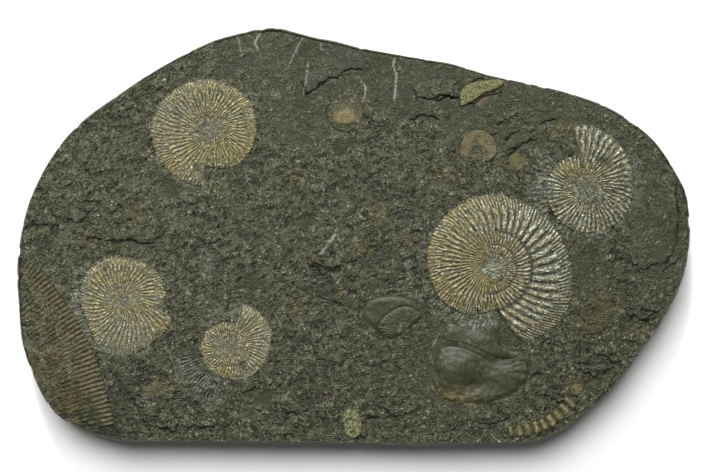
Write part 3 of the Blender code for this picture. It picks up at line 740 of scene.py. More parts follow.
def spread_over(tree, value, low, high, new_low=0.0, new_high=1.0):
    """A value stretched from one range to another, and held inside it."""
    feeds = {0: value, 1: low, 2: high, 3: new_low, 4: new_high}
    return add(tree, "ShaderNodeMapRange", feeds).outputs[0]


def layer(tree, name):
    """The value that each point of a piece keeps under this name."""
    return add(tree, "ShaderNodeAttribute", attribute_name=name).outputs["Fac"]


def rgb(red, green, blue):
    """A colour in a node's own linear terms, from its values on a screen."""
    return (*(((v / 255 + 0.055) / 1.055) ** 2.4 for v in (red, green, blue)), 1.0)


def place_on(tree):
    """The place of each point on its piece."""
    return add(tree, "ShaderNodeTexCoord").outputs["Object"]


def drawn_noise(tree, spot, size, stretch, turned, detail=3.0, distortion=0.0):
    """Noise with lumps of a size in millimetres, drawn out across a direction."""
    lain = add(tree, "ShaderNodeMapping",
               {"Vector": spot, "Rotation": (0, 0, turned), "Scale": (1, stretch, 1)})
    feeds = {"Vector": lain.outputs[0], "Scale": 1 / (size * MM), "Detail": detail, "Roughness": 0.6,
             "Distortion": distortion}
    return add(tree, "ShaderNodeTexNoise", feeds).outputs[0]


# The look of the stone, shared by every finish, since each fossil is worn through to it in places: an
# olive grey, darker in patches, with light flecks painted as glints on its grain, painted shade in its
# hollows, crevices and along small ledges, painted highlight where its relief is high, stained brown in
# spots, and pale in silvery rib marks and in streaks painted as glints along thin ridges.


def stone_group():
    """The stone's colour, its finest relief and its roughness."""
    tree = bpy.data.node_groups.new("look of the stone", "ShaderNodeTree")
    for name, kind in (("Colour", "Color"), ("Relief", "Float"), ("Sheen", "Float")):
        tree.interface.new_socket(name, in_out="OUTPUT", socket_type="NodeSocket" + kind)
    spot = place_on(tree)
    warp = add(tree, "ShaderNodeTexNoise", {"Vector": spot, "Scale": 170.0, "Detail": 2.0}).outputs["Color"]
    bent = vector(tree, "SUBTRACT", warp, (0.5, 0.5, 0.5))
    bent = vector(tree, "MULTIPLY_ADD", bent, (0.007, 0.007, 0), spot)
    drift = spread_over(tree, drawn_noise(tree, spot, 8, 1.0, 0.0, 2.0), 0.46, 0.54)
    dash = faded(tree, drift, drawn_noise(tree, bent, 0.72, 0.45, 0.6, 1.0),
                 drawn_noise(tree, bent, 0.72, 0.5, -0.8, 1.0))
    leaf = drawn_noise(tree, bent, 2.4, 1.7, -0.15, 4.0)
    grit = drawn_noise(tree, spot, 0.6, 1.2, 0.0, 1.0)
    ledge = drawn_noise(tree, bent, 6, 1.9, 0.2, 2.5)
    cloud = drawn_noise(tree, spot, 14, 1.0, 0.0, 5.0)
    smooth, relief, side = (layer(tree, name) for name in ("smooth", "relief", "side"))
    flaky = scaled(tree, smooth, -0.85, 1.0)

    # faint ribbed rings, one in each cell of a loose net
    feeds = {"Vector": bent, "Scale": 1 / (15 * MM)}
    cell = add(tree, "ShaderNodeTexVoronoi", feeds, voronoi_dimensions="2D")
    east, north, up = parts(tree, vector(tree, "SUBTRACT", bent, cell.outputs["Position"]))
    away = number(tree, "SQRT", scaled(tree, east, east, times(tree, north, north)))
    turned = times(tree, number(tree, "ARCTAN2", north, east), 30.0)
    imprint = times(tree, spread_over(tree, away, 2 * MM, 3 * MM), spread_over(tree, away, 8.5 * MM, 6 * MM))
    imprint = times(tree, times(tree, imprint, spread_over(tree, leaf, 0.44, 0.52)), flaky)
    rib = scaled(tree, number(tree, "COSINE", turned), 0.2, 0.5)
    dash = faded(tree, times(tree, imprint, 0.55), dash, rib)

    east, north, up = parts(tree, spot)
    # a broad change of tone, paler towards the upper left
    paler_to_upper_left = scaled(tree, east, -2.6, scaled(tree, north, 5.0, 0.5))
    # flecks where the fine grain is high are painted glints, and its low points get painted shade
    lit = scaled(tree, grit, 0.5, dash)
    glint_fleck = spread_over(tree, ledge, 0.4, 0.6, 1.15, 0.35)
    glint_fleck = times(tree, spread_over(tree, lit, 0.8, 1.0), glint_fleck)
    low = spread_over(tree, leaf, 0.3, 0.46, 1.0, 0.0)
    # thin dark lines along the small ledges of the fine relief are painted shadow
    edge = number(tree, "ABSOLUTE", number(tree, "SUBTRACT", ledge, 0.5))
    edge = times(tree, spread_over(tree, edge, 0.004, 0.018, 1.0, 0.0), spread_over(tree, cloud, 0.36, 0.48))
    flat = add(tree, "ShaderNodeMapping", {"Vector": spot, "Scale": (0.03, 0.03, 1)}).outputs[0]
    bed = add(tree, "ShaderNodeTexNoise", {"Vector": flat, "Scale": 1 / (1.6 * MM), "Detail": 4.0}).outputs[0]
    ochre = mixed(tree, drift, rgb(116, 108, 62), rgb(108, 90, 56))
    tone = rgb(66, 69, 43)
    for share, colour in (
            (spread_over(tree, paler_to_upper_left, 0.0, 1.0), rgb(93, 96, 72)),
            (spread_over(tree, cloud, 0.42, 0.66, 0.0, 0.7), rgb(84, 81, 57)),
            (times(tree, smooth, 0.9), rgb(44, 46, 30)),
            (times(tree, low, times(tree, flaky, 0.5)), rgb(32, 32, 22)),
            # painted shade in the low points of the fine grain
            (times(tree, spread_over(tree, lit, 0.74, 0.54), times(tree, flaky, 0.72)), rgb(28, 28, 17)),
            # painted glints on its high points
            (times(tree, glint_fleck, times(tree, flaky, 0.8)), rgb(176, 180, 152)),
            # painted shadow along the small ledges
            (times(tree, edge, times(tree, flaky, 0.8)), rgb(14, 14, 9)),
            # painted shade where the fine relief is low, and painted highlight where it is high
            (spread_over(tree, relief, 0.45, 0.1, 0.0, 0.45), rgb(22, 21, 14)),
            (spread_over(tree, relief, 0.55, 1.0, 0.0, 0.4), rgb(118, 119, 98)),
            (layer(tree, "shell"), rgb(52, 55, 36)),
            (times(tree, layer(tree, "stain"), 0.6), ochre),
            # silvery rib marks, and streaks painted as glints along thin ridges
            (layer(tree, "pale"), rgb(176, 178, 166)),
            # painted shade in crevices, cracks, furrows and at the foot of steps
            (layer(tree, "crevice"), rgb(9, 8, 4)),
            (times(tree, side, spread_over(tree, bed, 0.36, 0.6, 0.1, 0.8)), rgb(44, 46, 32))):
        tone = mixed(tree, share, tone, colour)
    edged = number(tree, "ABSOLUTE", number(tree, "SUBTRACT", leaf, 0.5))
    raised = scaled(tree, dash, 1.5, scaled(tree, edged, -2.5, times(tree, grit, 0.7)))
    raised = scaled(tree, spread_over(tree, ledge, 0.49, 0.515), -0.5, raised)
    raised = scaled(tree, times(tree, bed, side), 2.5, times(tree, raised, flaky))
    sheen = scaled(tree, smooth, -0.1, spread_over(tree, dash, 0.35, 0.65, 0.5, 0.36))
    add(tree, "NodeGroupOutput", {"Colour": tone, "Relief": raised, "Sheen": sheen})
    return tree


stone_look = stone_group()


def stone(tree):
    """The look of the stone, in a finish."""
    return add(tree, "ShaderNodeGroup", node_tree=stone_look).outputs


def new_finish(name):
    """An empty material, its tree and its Principled shader."""
    material = bpy.data.materials.new(name)
    material.use_nodes = True
    return material, material.node_tree, material.node_tree.nodes["Principled BSDF"]


def feed(tree, shader, **sockets):
    """Feeds a shader's sockets, or sets them where the value is plain."""
    for name, value in sockets.items():
        socket = shader.inputs[name.replace("_", " ")]
        if isinstance(value, bpy.types.NodeSocket):
            tree.links.new(value, socket)
        else:
            socket.default_value = value


def bumped(tree, height, depth):
    """Normal of a fine relief; depth in millimetres."""
    return add(tree, "ShaderNodeBump", {"Height": height, "Distance": depth * MM}).outputs[0]


def flaked(tree, grain):
    """Where a shell has flaked off and the stone shows."""
    bare = number(tree, "SUBTRACT", layer(tree, "bare"), 0.4)
    return spread_over(tree, scaled(tree, grain, 0.8, bare), 0.35, 0.65)


shale, tree, shader = new_finish("dark shale")
look = stone(tree)
feed(tree, shader, Base_Color=look["Colour"], Roughness=look["Sheen"],
     Normal=bumped(tree, look["Relief"], 1.0),
     Specular_IOR_Level=scaled(tree, layer(tree, "smooth"), -0.27, 0.47))
slab.data.materials.append(shale)
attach(slab, "root")
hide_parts("shale_slab")

# The five clear ammonites: flattened coils of pyritised shell, bedded in the shale with their outer edge
# level with it. Their ribs run out from the middle and fork towards the outer edge; each coil is a sheet
# of rings from its outer edge to its middle, raised by its own whorls and ribs, and closed below.


def outer_edge(radii, shrink, back):
    """Radius of the outer edge, back turns behind the mouth: through the radii in the first turn, and on
    a logarithmic spiral after it."""
    around = np.array((2 * radii[0] - radii[1], *radii, radii[-1] * shrink ** 0.125))
    eighth = np.clip((back * 8).astype(int), 0, 7)
    first = catmull_rom(*(around[eighth + k] for k in range(4)), back * 8 - eighth)
    return np.where(back >= 1, radii[-1] * shrink ** (back - 1), first)


def band(name, along, across):
    """A flat grid, with the share along it and across it of each point."""
    piece = started(name, bpy.ops.mesh.primitive_grid_add, x_subdivisions=along, y_subdivisions=across,
                    size=1)
    spots = places(piece) * MM
    return piece, spots[:, 0] + 0.5, spots[:, 1] + 0.5


def close_under(piece):
    """Welds a fossil, draws its open outer edge down to its flat foot, and closes it."""
    bpy.ops.object.mode_set(mode="EDIT")
    bpy.ops.mesh.select_all(action="SELECT")
    bpy.ops.mesh.remove_doubles(threshold=0.0000001)
    bpy.ops.mesh.select_mode(type="EDGE")
    bpy.ops.mesh.select_all(action="DESELECT")
    bpy.ops.mesh.select_non_manifold(use_wire=False, use_multi_face=False, use_non_contiguous=False,
                                     use_verts=False)
    bpy.ops.mesh.extrude_region_move(TRANSFORM_OT_translate={"value": (0, 0, -MM)})
    bpy.ops.object.mode_set(mode="OBJECT")
    foot = np.empty(len(piece.data.vertices), bool)
    piece.data.vertices.foreach_get("select", foot)
    spots = places(piece)
    spots[foot, 2] = FOSSIL_FOOT
    put(piece, spots)
    bpy.ops.object.mode_set(mode="EDIT")
    bpy.ops.mesh.edge_face_add()
    face_outwards()
    bpy.ops.object.shade_smooth_by_angle(angle=math.radians(60))


def bed_in(piece, node, finish):
    """Closes a fossil, and gives it its finish and its place in the shale."""
    close_under(piece)
    piece.data.materials.append(finish)
    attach(piece, "root")
    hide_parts(node)


def coil(name, node, finish, centre, mouth, side, radii, shrink, height, stations, rings, ribbing,
         suture, lean=0):
    """A flattened, ribbed coil. ribbing gives height, crest, gold and bareness for each point, suture how
    deep the seams between its whorls are at each angle."""
    piece, share, inwards = band(name, stations, rings)
    back = np.where(share > 1 - 0.5 / stations, 0, share)
    outer, inner = (outer_edge(radii, shrink, back + k) for k in (0, 1))
    core = 0.92 * radii[-1]
    free = 1 - core / np.mean(radii)
    outside = outer + (core - outer) * inwards / free
    radius = np.where(inwards < free, outside, core * (1 - inwards) / (1 - free))
    leaning = lean * np.clip((radius - inner) / (outer - inner), 0, 1) * np.maximum(0, 1 - 5 * back)
    angle = np.radians(mouth - side * (360 * back + leaning))
    x, y = centre[0] + radius * np.cos(angle), centre[1] + radius * np.sin(angle)
    deeper = np.floor(np.log(np.maximum(radius, 0.1) / inner) / math.log(shrink))
    turn = np.where(radius >= inner, 0, 1 + deeper)
    first = turn == 0
    whorl_outer = np.where(first, outer, inner * shrink ** (turn - 1))
    whorl_inner = np.where(first, inner, inner * shrink ** turn)
    across = np.clip((whorl_outer - radius) / (whorl_outer - whorl_inner), 0, 1)
    border = np.where(first, outer - radius, 9)
    angle = np.degrees(angle) % 360
    rib, crest, gold, bare = ribbing(x, y, back + turn, across, angle, radius)
    deep = suture(angle) * (0.6 + 0.4 * smoothstep(3, 9, radius))
    dome = (1 - (1 - np.clip(across / 0.35, 0, 1)) ** 2) * (1 - smoothstep(0.82, 1, across) ** 1.5)
    dome = np.where(first & (across < 0.35), 1, dome)
    level = height * (0.5 + 0.5 * radius / radii[0]) * (1 - deep * (1 - dome))
    seam = np.where(first & (across < 0.5), 0, 1 - tapered(across, 0.1)) * np.clip(2 * deep, 0, 1)
    own = FACE + level + rib * (1 - seam) * smoothstep(1, 4, radius)
    ragged = border + 0.5 * fractal(x, y, 2, 180, 2) + 0.5 * (crest - 0.5)
    risen = 0.4 * smoothstep(0, 0.8, border) + 0.6 * smoothstep(0, 0.2 * radii[0], border)
    from_mouth = np.where(first, back, 1)
    risen *= smoothstep(-0.3, 1, ragged)
    risen *= smoothstep(0, 0.014, from_mouth * np.maximum(1, 0.6 + radius / radii[0]))
    rock, smooth, shown, crevice, fine = shale_face(x, y)
    put(piece, np.column_stack((x, y, rock - 0.1 * (1 - risen) + (own - rock) * risen)))
    worn = 1 - smoothstep(0.3, 1.6, ragged) * smoothstep(0, 0.02, from_mouth)
    # painted shade in crevices and whorl seams; relief: painted shade and highlight on bare stone
    paint(piece, crest=np.clip(crest, 0, 1), gold=np.clip(gold, 0, 1), smooth=smooth * 0.3,
          bare=np.clip(np.maximum(bare, worn), 0, 1), relief=0.5 + (lit_relief(fine) - 0.5) * worn,
          crevice=crevice * worn + 0.8 * seam * (1 - worn) * smoothstep(3, 8, radius))
    bed_in(piece, node, finish)
    return piece


def rib_phase(count, sweep, seed, x, y, back, across, crumple=0.22):
    """How many ribs lie between the mouth and a point."""
    wander = crumple * fractal(x, y, 5, seed, 3) + 0.3 * noise(x / 17, y / 17, seed + 3)
    return count * back + sweep * (back + across) + wander


def ribs(phase, width, forks, forks_at, seed, x, y, back, across):
    """Profile of ribs, from 0 in a furrow to 1 on a crest; they fork outside forks_at of the first whorl."""
    phase = 2 * math.pi * phase
    main = (0.5 + 0.5 * np.cos(phase)) ** width
    if not forks:
        return main
    fine = (0.5 + (-0.5 if forks == 2 else 0.5) * np.cos(phase * forks)) ** 0.8
    uneven = across + 0.12 * fractal(x, y, 4, seed + 7, 2)
    outside = (1 - smoothstep(forks_at - 0.08, forks_at + 0.08, uneven)) * (back < 1)
    return main + (fine - main) * outside


def dashes(x, y, turns, radius, seed, length=2.8):
    """Chance streaks that run with the ribs, between about -1 and 1."""
    ring = np.maximum(1, np.round(radius / 5))
    along = noise(2 * math.pi * turns * ring * 5 / 0.6, radius / length + 17 * ring, seed)
    return 0.8 * along + 0.45 * fractal(x, y, 0.9, seed + 2, 2)


def pyritised(name, dark, gold_low, gold_high, silver_low, silver_high):
    """Pyritised shell: gold or silver crests, their palest tone partly painted highlight, over furrows
    darkened as painted shade, with bare stone where it has flaked off.
    """
    material, tree, shader = new_finish(name)
    look = stone(tree)
    grain = drawn_noise(tree, place_on(tree), 0.8, 0.8, 0.3, 3.0, 0.4)
    low = mixed(tree, layer(tree, "gold"), silver_low, gold_low)
    high = mixed(tree, layer(tree, "gold"), silver_high, gold_high)
    # furrows take the dark tone as painted shade; crests grade to the high tone, partly painted highlight
    lit = scaled(tree, spread_over(tree, grain, 0.36, 0.66), 0.5, layer(tree, "crest"))
    tone = mixed(tree, spread_over(tree, lit, 0.2, 0.75), dark, low)
    tone = mixed(tree, spread_over(tree, lit, 0.8, 1.4), tone, high)
    bare = flaked(tree, grain)
    tone = mixed(tree, bare, tone, look["Colour"])
    # painted shade in crevices and in the seams between whorls
    tone = mixed(tree, layer(tree, "crevice"), tone, rgb(14, 12, 7))
    feed(tree, shader, Base_Color=tone,
         Roughness=faded(tree, bare, spread_over(tree, grain, 0.35, 0.65, 0.5, 0.34), look["Sheen"]),
         Metallic=times(tree, spread_over(tree, lit, 0.5, 1.3, 0.0, 0.5),
                        number(tree, "SUBTRACT", 1.0, bare)),
         Normal=bumped(tree, faded(tree, bare, times(tree, grain, 0.9), look["Relief"]), 0.7))
    return material


golden = pyritised("golden pyritised shell", rgb(58, 53, 32), rgb(114, 105, 66), rgb(184, 174, 126),
                   rgb(100, 101, 80), rgb(190, 190, 164))
silvery = pyritised("silvery pyritised shell", rgb(32, 30, 17), rgb(112, 103, 66), rgb(178, 166, 116),
                    rgb(88, 90, 70), rgb(206, 208, 184))


def large_ribs(x, y, back, across, angle, radius):
    """Fine ribs on the left, broad ones with narrow furrows on the right, and a crushed lower left end."""
    right = np.where(back < 1, smoothstep(0.62, 0.42, back), 0)
    fine_phase = rib_phase(56, 1.0, 120, x, y, back, across, 0.15)
    broad_phase = rib_phase(39, 1.5, 130, x, y, back, across, 0.06)
    left = ribs(fine_phase, 0.9, 2, 0.45, 120, x, y, back, across)
    broad = ribs(broad_phase, 0.5, 3, 0.34, 130, x, y, back, across)
    profile = left + (broad - left) * right
    worn = smoothstep(0.2, 0.9, fractal(x, y, 9, 140, 4)) * 0.7
    ragged = 4 * fractal(x, y, 5, 142, 3)
    crushed = (smoothstep(20, 21.5, radius + 0.3 * ragged) * (back > 0.8) * (back < 1.2)
               * smoothstep(240, 246, angle + ragged) * smoothstep(292, 284, angle + ragged))
    middle = smoothstep(6, 4, radius + 0.8 * fractal(x, y, 2, 145, 2))
    golden_side = 0.5 - 0.5 * np.cos(np.radians(angle - 10))
    gold = 0.1 + 0.75 * golden_side + 0.5 * fractal(x, y, 6, 150, 3) + 0.3 * (back > 1)
    gold += 0.5 * smoothstep(290, 275, angle) * smoothstep(265, 278, angle) * (back < 1)
    breaks = 0.75 + 0.6 * fractal(x, y, 1.8, 152, 3)
    rib = (profile - 0.5) * (0.5 + 0.3 * right) * breaks * np.where(back > 1, 0.75, 1) * (1 - 0.5 * worn)
    rib += 0.2 * fractal(x, y, 1.5, 155, 3) * (0.6 + 0.6 * crushed)
    rib += crushed * (0.6 * noise(x / 4, y / 3, 157) - 0.5)
    streaks = dashes(x, y, fine_phase / 56, radius, 158)
    streaks += (dashes(x, y, broad_phase / 39, radius, 162, 5) - streaks) * right
    crest = 0.42 + (0.62 + 0.2 * right) * (profile - 0.5) + 0.6 * streaks - 0.1 * right
    paler = 0.25 * (1 - crest) * crushed * smoothstep(-0.2, 0.5, fractal(x, y, 2.5, 159, 3))
    crest += 0.12 * smoothstep(0, 0.9, np.sin(np.radians(angle))) * (back < 1) + 0.15 * middle + paler
    return rib, crest, gold * (1 - middle), np.maximum(0.4 * worn, np.maximum(0.55 * crushed, 0.3 * middle))


def even_ribs(count, forks, forks_at, amount, golden_share, bare_share, seed, middle_radius, patches=()):
    """Ribbing of a coil with the same ribs all the way, worn in patches. A patch is its place and size, and
    how much more golden and more bare it is."""
    def ribbing(x, y, back, across, angle, radius):
        phase = rib_phase(count, 0.9, seed, x, y, back, across, 0.17)
        profile = ribs(phase, 0.85, forks, forks_at, seed, x, y, back, across)
        worn = smoothstep(0.6 - bare_share, 1.2 - bare_share, fractal(x, y, 9, seed + 20, 4))
        gold = golden_share + 0.6 * fractal(x, y, 7, seed + 30, 3)
        for px, py, size, more_gold, more_bare in patches:
            spread = bump(np.hypot(x - px, y - py), size)
            gold, worn = gold + more_gold * spread, np.clip(worn + more_bare * spread, 0, 1)
        uneven = radius + 0.8 * fractal(x, y, 2, seed + 45, 2)
        middle = smoothstep(middle_radius * 1.2, middle_radius * 0.8, uneven)
        breaks = 0.75 + 0.6 * fractal(x, y, 1.8, seed + 40, 3)
        rib = (profile - 0.5) * amount * breaks * (1 - 0.55 * worn)
        rib *= np.where(back > 1, 0.85, 1) * (1 - 0.7 * middle)
        rib += 0.17 * fractal(x, y, 1.5, seed + 50, 3)
        crest = 0.46 + 0.52 * (profile - 0.5) + 0.62 * dashes(x, y, phase / count, radius, seed + 60)
        return rib, crest * (1 - 0.3 * worn), gold * (1 - middle), np.maximum(0.6 * worn, 0.4 * middle)
    return ribbing


def faint(depth):
    """Seams between whorls that are equally shallow all round."""
    return lambda angle: np.full(np.shape(angle), depth)


def large_seams(angle):
    """Seams of the large coil: clear at the top, right and bottom, faint on the left."""
    return 0.08 + 0.42 * smoothstep(-0.35, 0.3, np.cos(np.radians(angle + 5)))


coil("large_right_coil", "ammonite_large_right", silvery, (61.5, -13.5), 276, -1,
     (37.3, 39.1, 35.1, 32.9, 32.4, 31.1, 29.1, 25.8, 19.5), 0.62, 1.4, 760, 78, large_ribs, large_seams, 17)
coil("upper_right_coil", "ammonite_upper_right", silvery, (103, 21.5), 102, 1,
     (29.6, 25.6, 21.9, 21.8, 20.9, 19.5, 17.9, 17.4, 15), 0.6, 0.9, 560, 56,
     even_ribs(50, 0, 0.1, 0.55, 0.1, 0.3, 200, 5, ((95, 29, 4, 0.9, -0.5), (94, 17, 4, 0.9, -0.4),
               (109.5, 29, 4, 0.8, -0.4), (102, 29, 5, 0.5, 0.2), (98, 46, 6, 0.2, -0.4),
               (124, 24, 5, 0, 0.6))),
     faint(0.12), -3)
coil("upper_left_coil", "ammonite_upper_left", golden, (-63, 47), 262, 1,
     (25.3, 27.1, 27.5, 24.9, 22.6, 21.8, 20.4, 19.5, 16.4), 0.62, 1.0, 660, 58,
     even_ribs(56, 2, 0.55, 0.42, 0.6, 0.12, 300, 4.5, ((-52, 38, 9, 0.4, -0.4), (-80, 58, 9, -0.5, 0.35))),
     faint(0.12), -6)
coil("lower_left_coil", "ammonite_lower_left", golden, (-102, -28.5), 345, 1,
     (24, 23.5, 25.3, 19.5, 20.9, 21.3, 19.5, 20.4, 17.8), 0.62, 1.0, 600, 52,
     even_ribs(49, 2, 0.6, 0.42, 0.6, 0.12, 400, 3.5, ((-123, -24, 6, -0.8, 0.6), (-88, -14, 7, -0.3, 0.7),
               (-106, -50, 10, -0.6, 0.5), (-92, -46, 7, -0.3, 0.4))), faint(0.1))
coil("lower_middle_coil", "ammonite_lower_middle", golden, (-54.5, -49), 80, 1,
     (20.9, 20.4, 17.8, 16.4, 15.1, 14.7, 14, 12.9, 11.1), 0.6, 0.9, 560, 46,
     even_ribs(52, 2, 0.4, 0.42, 0.35, 0.12, 500, 3.5, ((-69, -47, 5, 0.6, -0.3), (-56, -58, 5, 0.5, -0.2))),
     faint(0.3))

# The small coil right of the large one's mouth: a brown shell with low ribs, wound round a sunken disc.
# It is made like the clear ones.


def plain_shell(name, low, high, stained, sheen=(0.6, 0.45), size=1.1, depth=0.5):
    """Shell or crust with no metal in it: two tones of its grain, painted shade in its furrows, grooves, pits
    and hollows, and bare stone where it has flaked off."""
    material, tree, shader = new_finish(name)
    look = stone(tree)
    grain = drawn_noise(tree, place_on(tree), size, 0.7, 0.3, 3.0, 0.4)
    tone = mixed(tree, spread_over(tree, grain, 0.36, 0.68), low, high)
    bare = flaked(tree, grain)
    for share, colour in ((times(tree, layer(tree, "stain"), 0.8), stained),
                          (layer(tree, "bright"), rgb(134, 132, 96)),
                          # painted shade in furrows, grooves, pits and hollows
                          (layer(tree, "furrow"), rgb(24, 22, 14)),
                          (bare, look["Colour"])):
        tone = mixed(tree, share, tone, colour)
    feed(tree, shader, Base_Color=tone, Specular_IOR_Level=0.3,
         Roughness=faded(tree, bare, spread_over(tree, grain, 0.3, 0.7, *sheen), look["Sheen"]),
         Normal=bumped(tree, faded(tree, bare, times(tree, grain, depth / 0.8), look["Relief"]), 0.8))
    return material


brown = plain_shell("brown shell", rgb(42, 40, 24), rgb(88, 84, 54), rgb(92, 84, 50))


def small_right_ribs(x, y, back, across, angle, radius):
    """Low ribs on the outer whorl, and a bare disc inside it."""
    profile = ribs(rib_phase(34, 0.6, 600, x, y, back, across), 0.9, 0, 0.1, 600, x, y, back, across)
    disc = back > 1
    worn = 0.7 * smoothstep(0.0, 0.5, fractal(x, y, 4, 615, 3))
    rib = (profile - 0.5) * np.where(disc, 0.06, 0.3)
    return rib, profile * ~disc, 0.5 * profile, np.maximum(worn, disc * 0.6)


small_right = coil("small_right_coil", "ammonite_small_right", brown, (106, -35.5), 215, -1,
                   (8.2, 8.6, 8.6, 8.4, 8.2, 7.8, 7, 6.2, 4.6), 0.5, 0.9, 220, 26, small_right_ribs,
                   faint(0.5))
crests = np.empty(len(small_right.data.vertices), np.float32)
small_right.data.attributes["crest"].data.foreach_get("value", crests)
# painted shade in the rib furrows
paint(small_right, furrow=0.6 * (1 - crests), stain=0.4 * crests)

# Two stretches of broad ribbed whorl, brown, cut off by the slab's edges: a long one of a much larger
# coil at the left edge, and a short one at the lower right. Each is one ribbed band, closed below, and
# its left side fades into the shale.


def whorl(name, node, right, left, count, height, rib, along, rows, seed, fading, bright):
    """A ribbed band between two edges."""
    piece, share, across = band(name, along, rows)
    edges = smooth_line(right, along), smooth_line(left, along)
    station = np.round(share * along).astype(int)
    x, y = (edges[0][station, k] + (edges[1][station, k] - edges[0][station, k]) * across for k in (0, 1))
    profile, inside = edge_ribs(x, y, edges[0][::12], count, seed)
    shown = 1 - fading * smoothstep(0.3, 0.9, across + 0.25 * fractal(x, y, 8, seed + 5, 3))
    own = FACE + height * (0.8 - 0.45 * fading * across) + 0.22 * fractal(x, y, 1.8, seed + 9, 3)
    own += (profile - 0.5) * 2 * rib * (0.35 + 0.65 * shown)
    risen = smoothstep(0, 0.06, across) * (1 - smoothstep(0.8, 1, across)) * tapered(share, 0.012)
    rock = shale_face(x, y)[0]
    put(piece, np.column_stack((x, y, rock - 0.1 * (1 - risen) + (own - rock) * risen)))
    flaking = 0.35 * smoothstep(0, 0.6, fractal(x, y, 4, seed + 13, 3))
    # painted shade in the rib furrows; relief gives painted shade and highlight where stone shows
    paint(piece, furrow=0.55 * (1 - profile) * (0.3 + 0.7 * shown), relief=0.5 + 0.5 * (profile - 0.5),
          stain=np.clip(profile * (0.4 + 0.9 * fractal(x, y, 3, seed + 11, 3)), 0, 1),
          bare=np.clip(1.1 * (1 - shown) + flaking, 0, 1), shell=0.9 * dark_corner(x, y),
          bright=np.clip(bright * profile * (0.7 + fractal(x, y, 2, seed + 15, 3)), 0, 1))
    bed_in(piece, node, brown)


whorl("left_edge_whorl", "whorl_left_edge", LEFT_WHORL,
      ((-147, -17), (-143.5, -27), (-137.5, -36), (-133.5, -43.5), (-130, -56.5), (-125.5, -69),
       (-120, -78), (-114, -84.5)), LEFT_WHORL_RIBS, 1.2, 0.2, 420, 36, 700, 0.9, 0.2)
whorl("lower_right_whorl", "whorl_lower_right",
      ((68, -84.5), (76, -83.8), (84, -80.8), (90.5, -76), (95.5, -70)),
      ((69, -89.3), (78, -88.8), (88, -85.2), (95, -79.8), (101.5, -72.5)),
      9, 1.3, 0.4, 200, 18, 720, 0.2, 0.65)

# Low shells and crusts: two smooth mussel valves, three small shells and two crusts of pyrite grains. Each
# is a disc drawn to its outline, filled with a net of faces, raised inside and closed below.


def shell(name, node, finish, shape, spacing=0.5, lip=0.5):
    """A low shell over its CAD outline. shape gives height, stain, painted shade and bareness at each point.
    """
    line = foot_outline(node)
    length = np.linalg.norm(np.roll(line, -1, axis=0) - line, axis=1).sum()
    count = 4 * round(length / spacing / 4)
    border = smooth_loop(line, count)
    piece = started(name, bpy.ops.mesh.primitive_circle_add, vertices=count, radius=0.01,
                    fill_type="NOTHING")
    put(piece, np.column_stack((border, np.full(count, FACE))))
    bpy.ops.object.mode_set(mode="EDIT")
    bpy.ops.mesh.select_all(action="SELECT")
    bpy.ops.mesh.fill_grid(span=count // 4)
    bpy.ops.object.mode_set(mode="OBJECT")
    spots = places(piece)
    x, y = spots[:, 0], spots[:, 1]
    depth = np.maximum(0, within(x, y, border))
    depth[:count] = 0
    height, stain, furrow, bare = shape(x, y, depth)
    rock, smooth, cast, crevice, fine = shale_face(x, y)
    risen = smoothstep(0, lip, depth)
    bare = np.clip(np.maximum(bare, 1 - depth / 0.8), 0, 1)
    spots[:, 2] = rock - 0.1 * (1 - risen) + (FACE + height - rock) * risen
    put(piece, spots)
    # the fine relief gives painted shade and highlight where the stone shows
    paint(piece, stain=np.clip(stain, 0, 1), furrow=np.clip(furrow, 0, 1), bare=bare, smooth=smooth,
          relief=0.5 + (lit_relief(fine) - 0.5) * bare)
    bed_in(piece, node, finish)


mussel = plain_shell("dark mussel shell", rgb(44, 47, 30), rgb(62, 65, 43), rgb(78, 68, 42), (0.5, 0.38), 1.6,
                     0.3)
tan = plain_shell("tan shell", rgb(72, 69, 47), rgb(122, 114, 80), rgb(122, 110, 70))
crust = plain_shell("pyrite crust", rgb(66, 68, 42), rgb(144, 146, 102), rgb(116, 108, 62), (0.5, 0.3), 0.8,
                    0.9)


def lower_mussel(x, y, depth):
    """Domed valve with folds round its highest point, chipped at the lower left."""
    away = np.hypot(x - 45, (y + 59.5) * 1.1)
    wave = (away / 3.3 + 0.35 * fractal(x, y, 8, 800, 2)) % 1
    folds = 0.14 * (smoothstep(0, 0.3, wave) - wave) * smoothstep(2.5, 5, away) * smoothstep(20, 10, away)
    chipped = smoothstep(-64, -71, y + 1.5 * fractal(x, y, 5, 805, 3)) * smoothstep(60, 50, x)
    height = swell(x, y) + mussel_mass(x, y)[0] + (folds + 0.12) * smoothstep(0, 1.5, depth)
    height += 0.45 * chipped * fractal(x, y, 3, 803, 4)
    height += smoothstep(70, 73, x) * 0.2 * np.floor(2 * noise(x / 3, y / 3, 806))
    speck = np.exp(-((x - 47.5) ** 2 + (y + 61.5) ** 2) / 0.4)
    # painted shade on the lower right side of the dome
    dark = 0.5 * bump(x - 53, 4) * bump(y + 65, 2.5)
    return height, chipped * 0.8, dark, 0.5 * speck + 0.6 * chipped * (fractal(x, y, 4, 807, 3) > 0)


def upper_mussel(x, y, depth):
    """Smooth valve, with painted shade where it meets the lower one."""
    none = np.zeros(len(x))
    height = swell(x, y) + mussel_mass(x, y)[0] + 0.1 * smoothstep(0, 1, depth)
    return height, none, 0.8 * bump(x - 65, 4.5) * bump(y + 55.2, 1.1), none


OVAL = smooth_loop(np.array(((10.6, -40.5), (13.7, -35.9), (18.8, -32.3), (23.9, -31.3), (28.5, -32.9),
                             (31.5, -35.4), (23.9, -41.7), (20.3, -44.6), (15.7, -46.1), (12.6, -44.6))), 60)


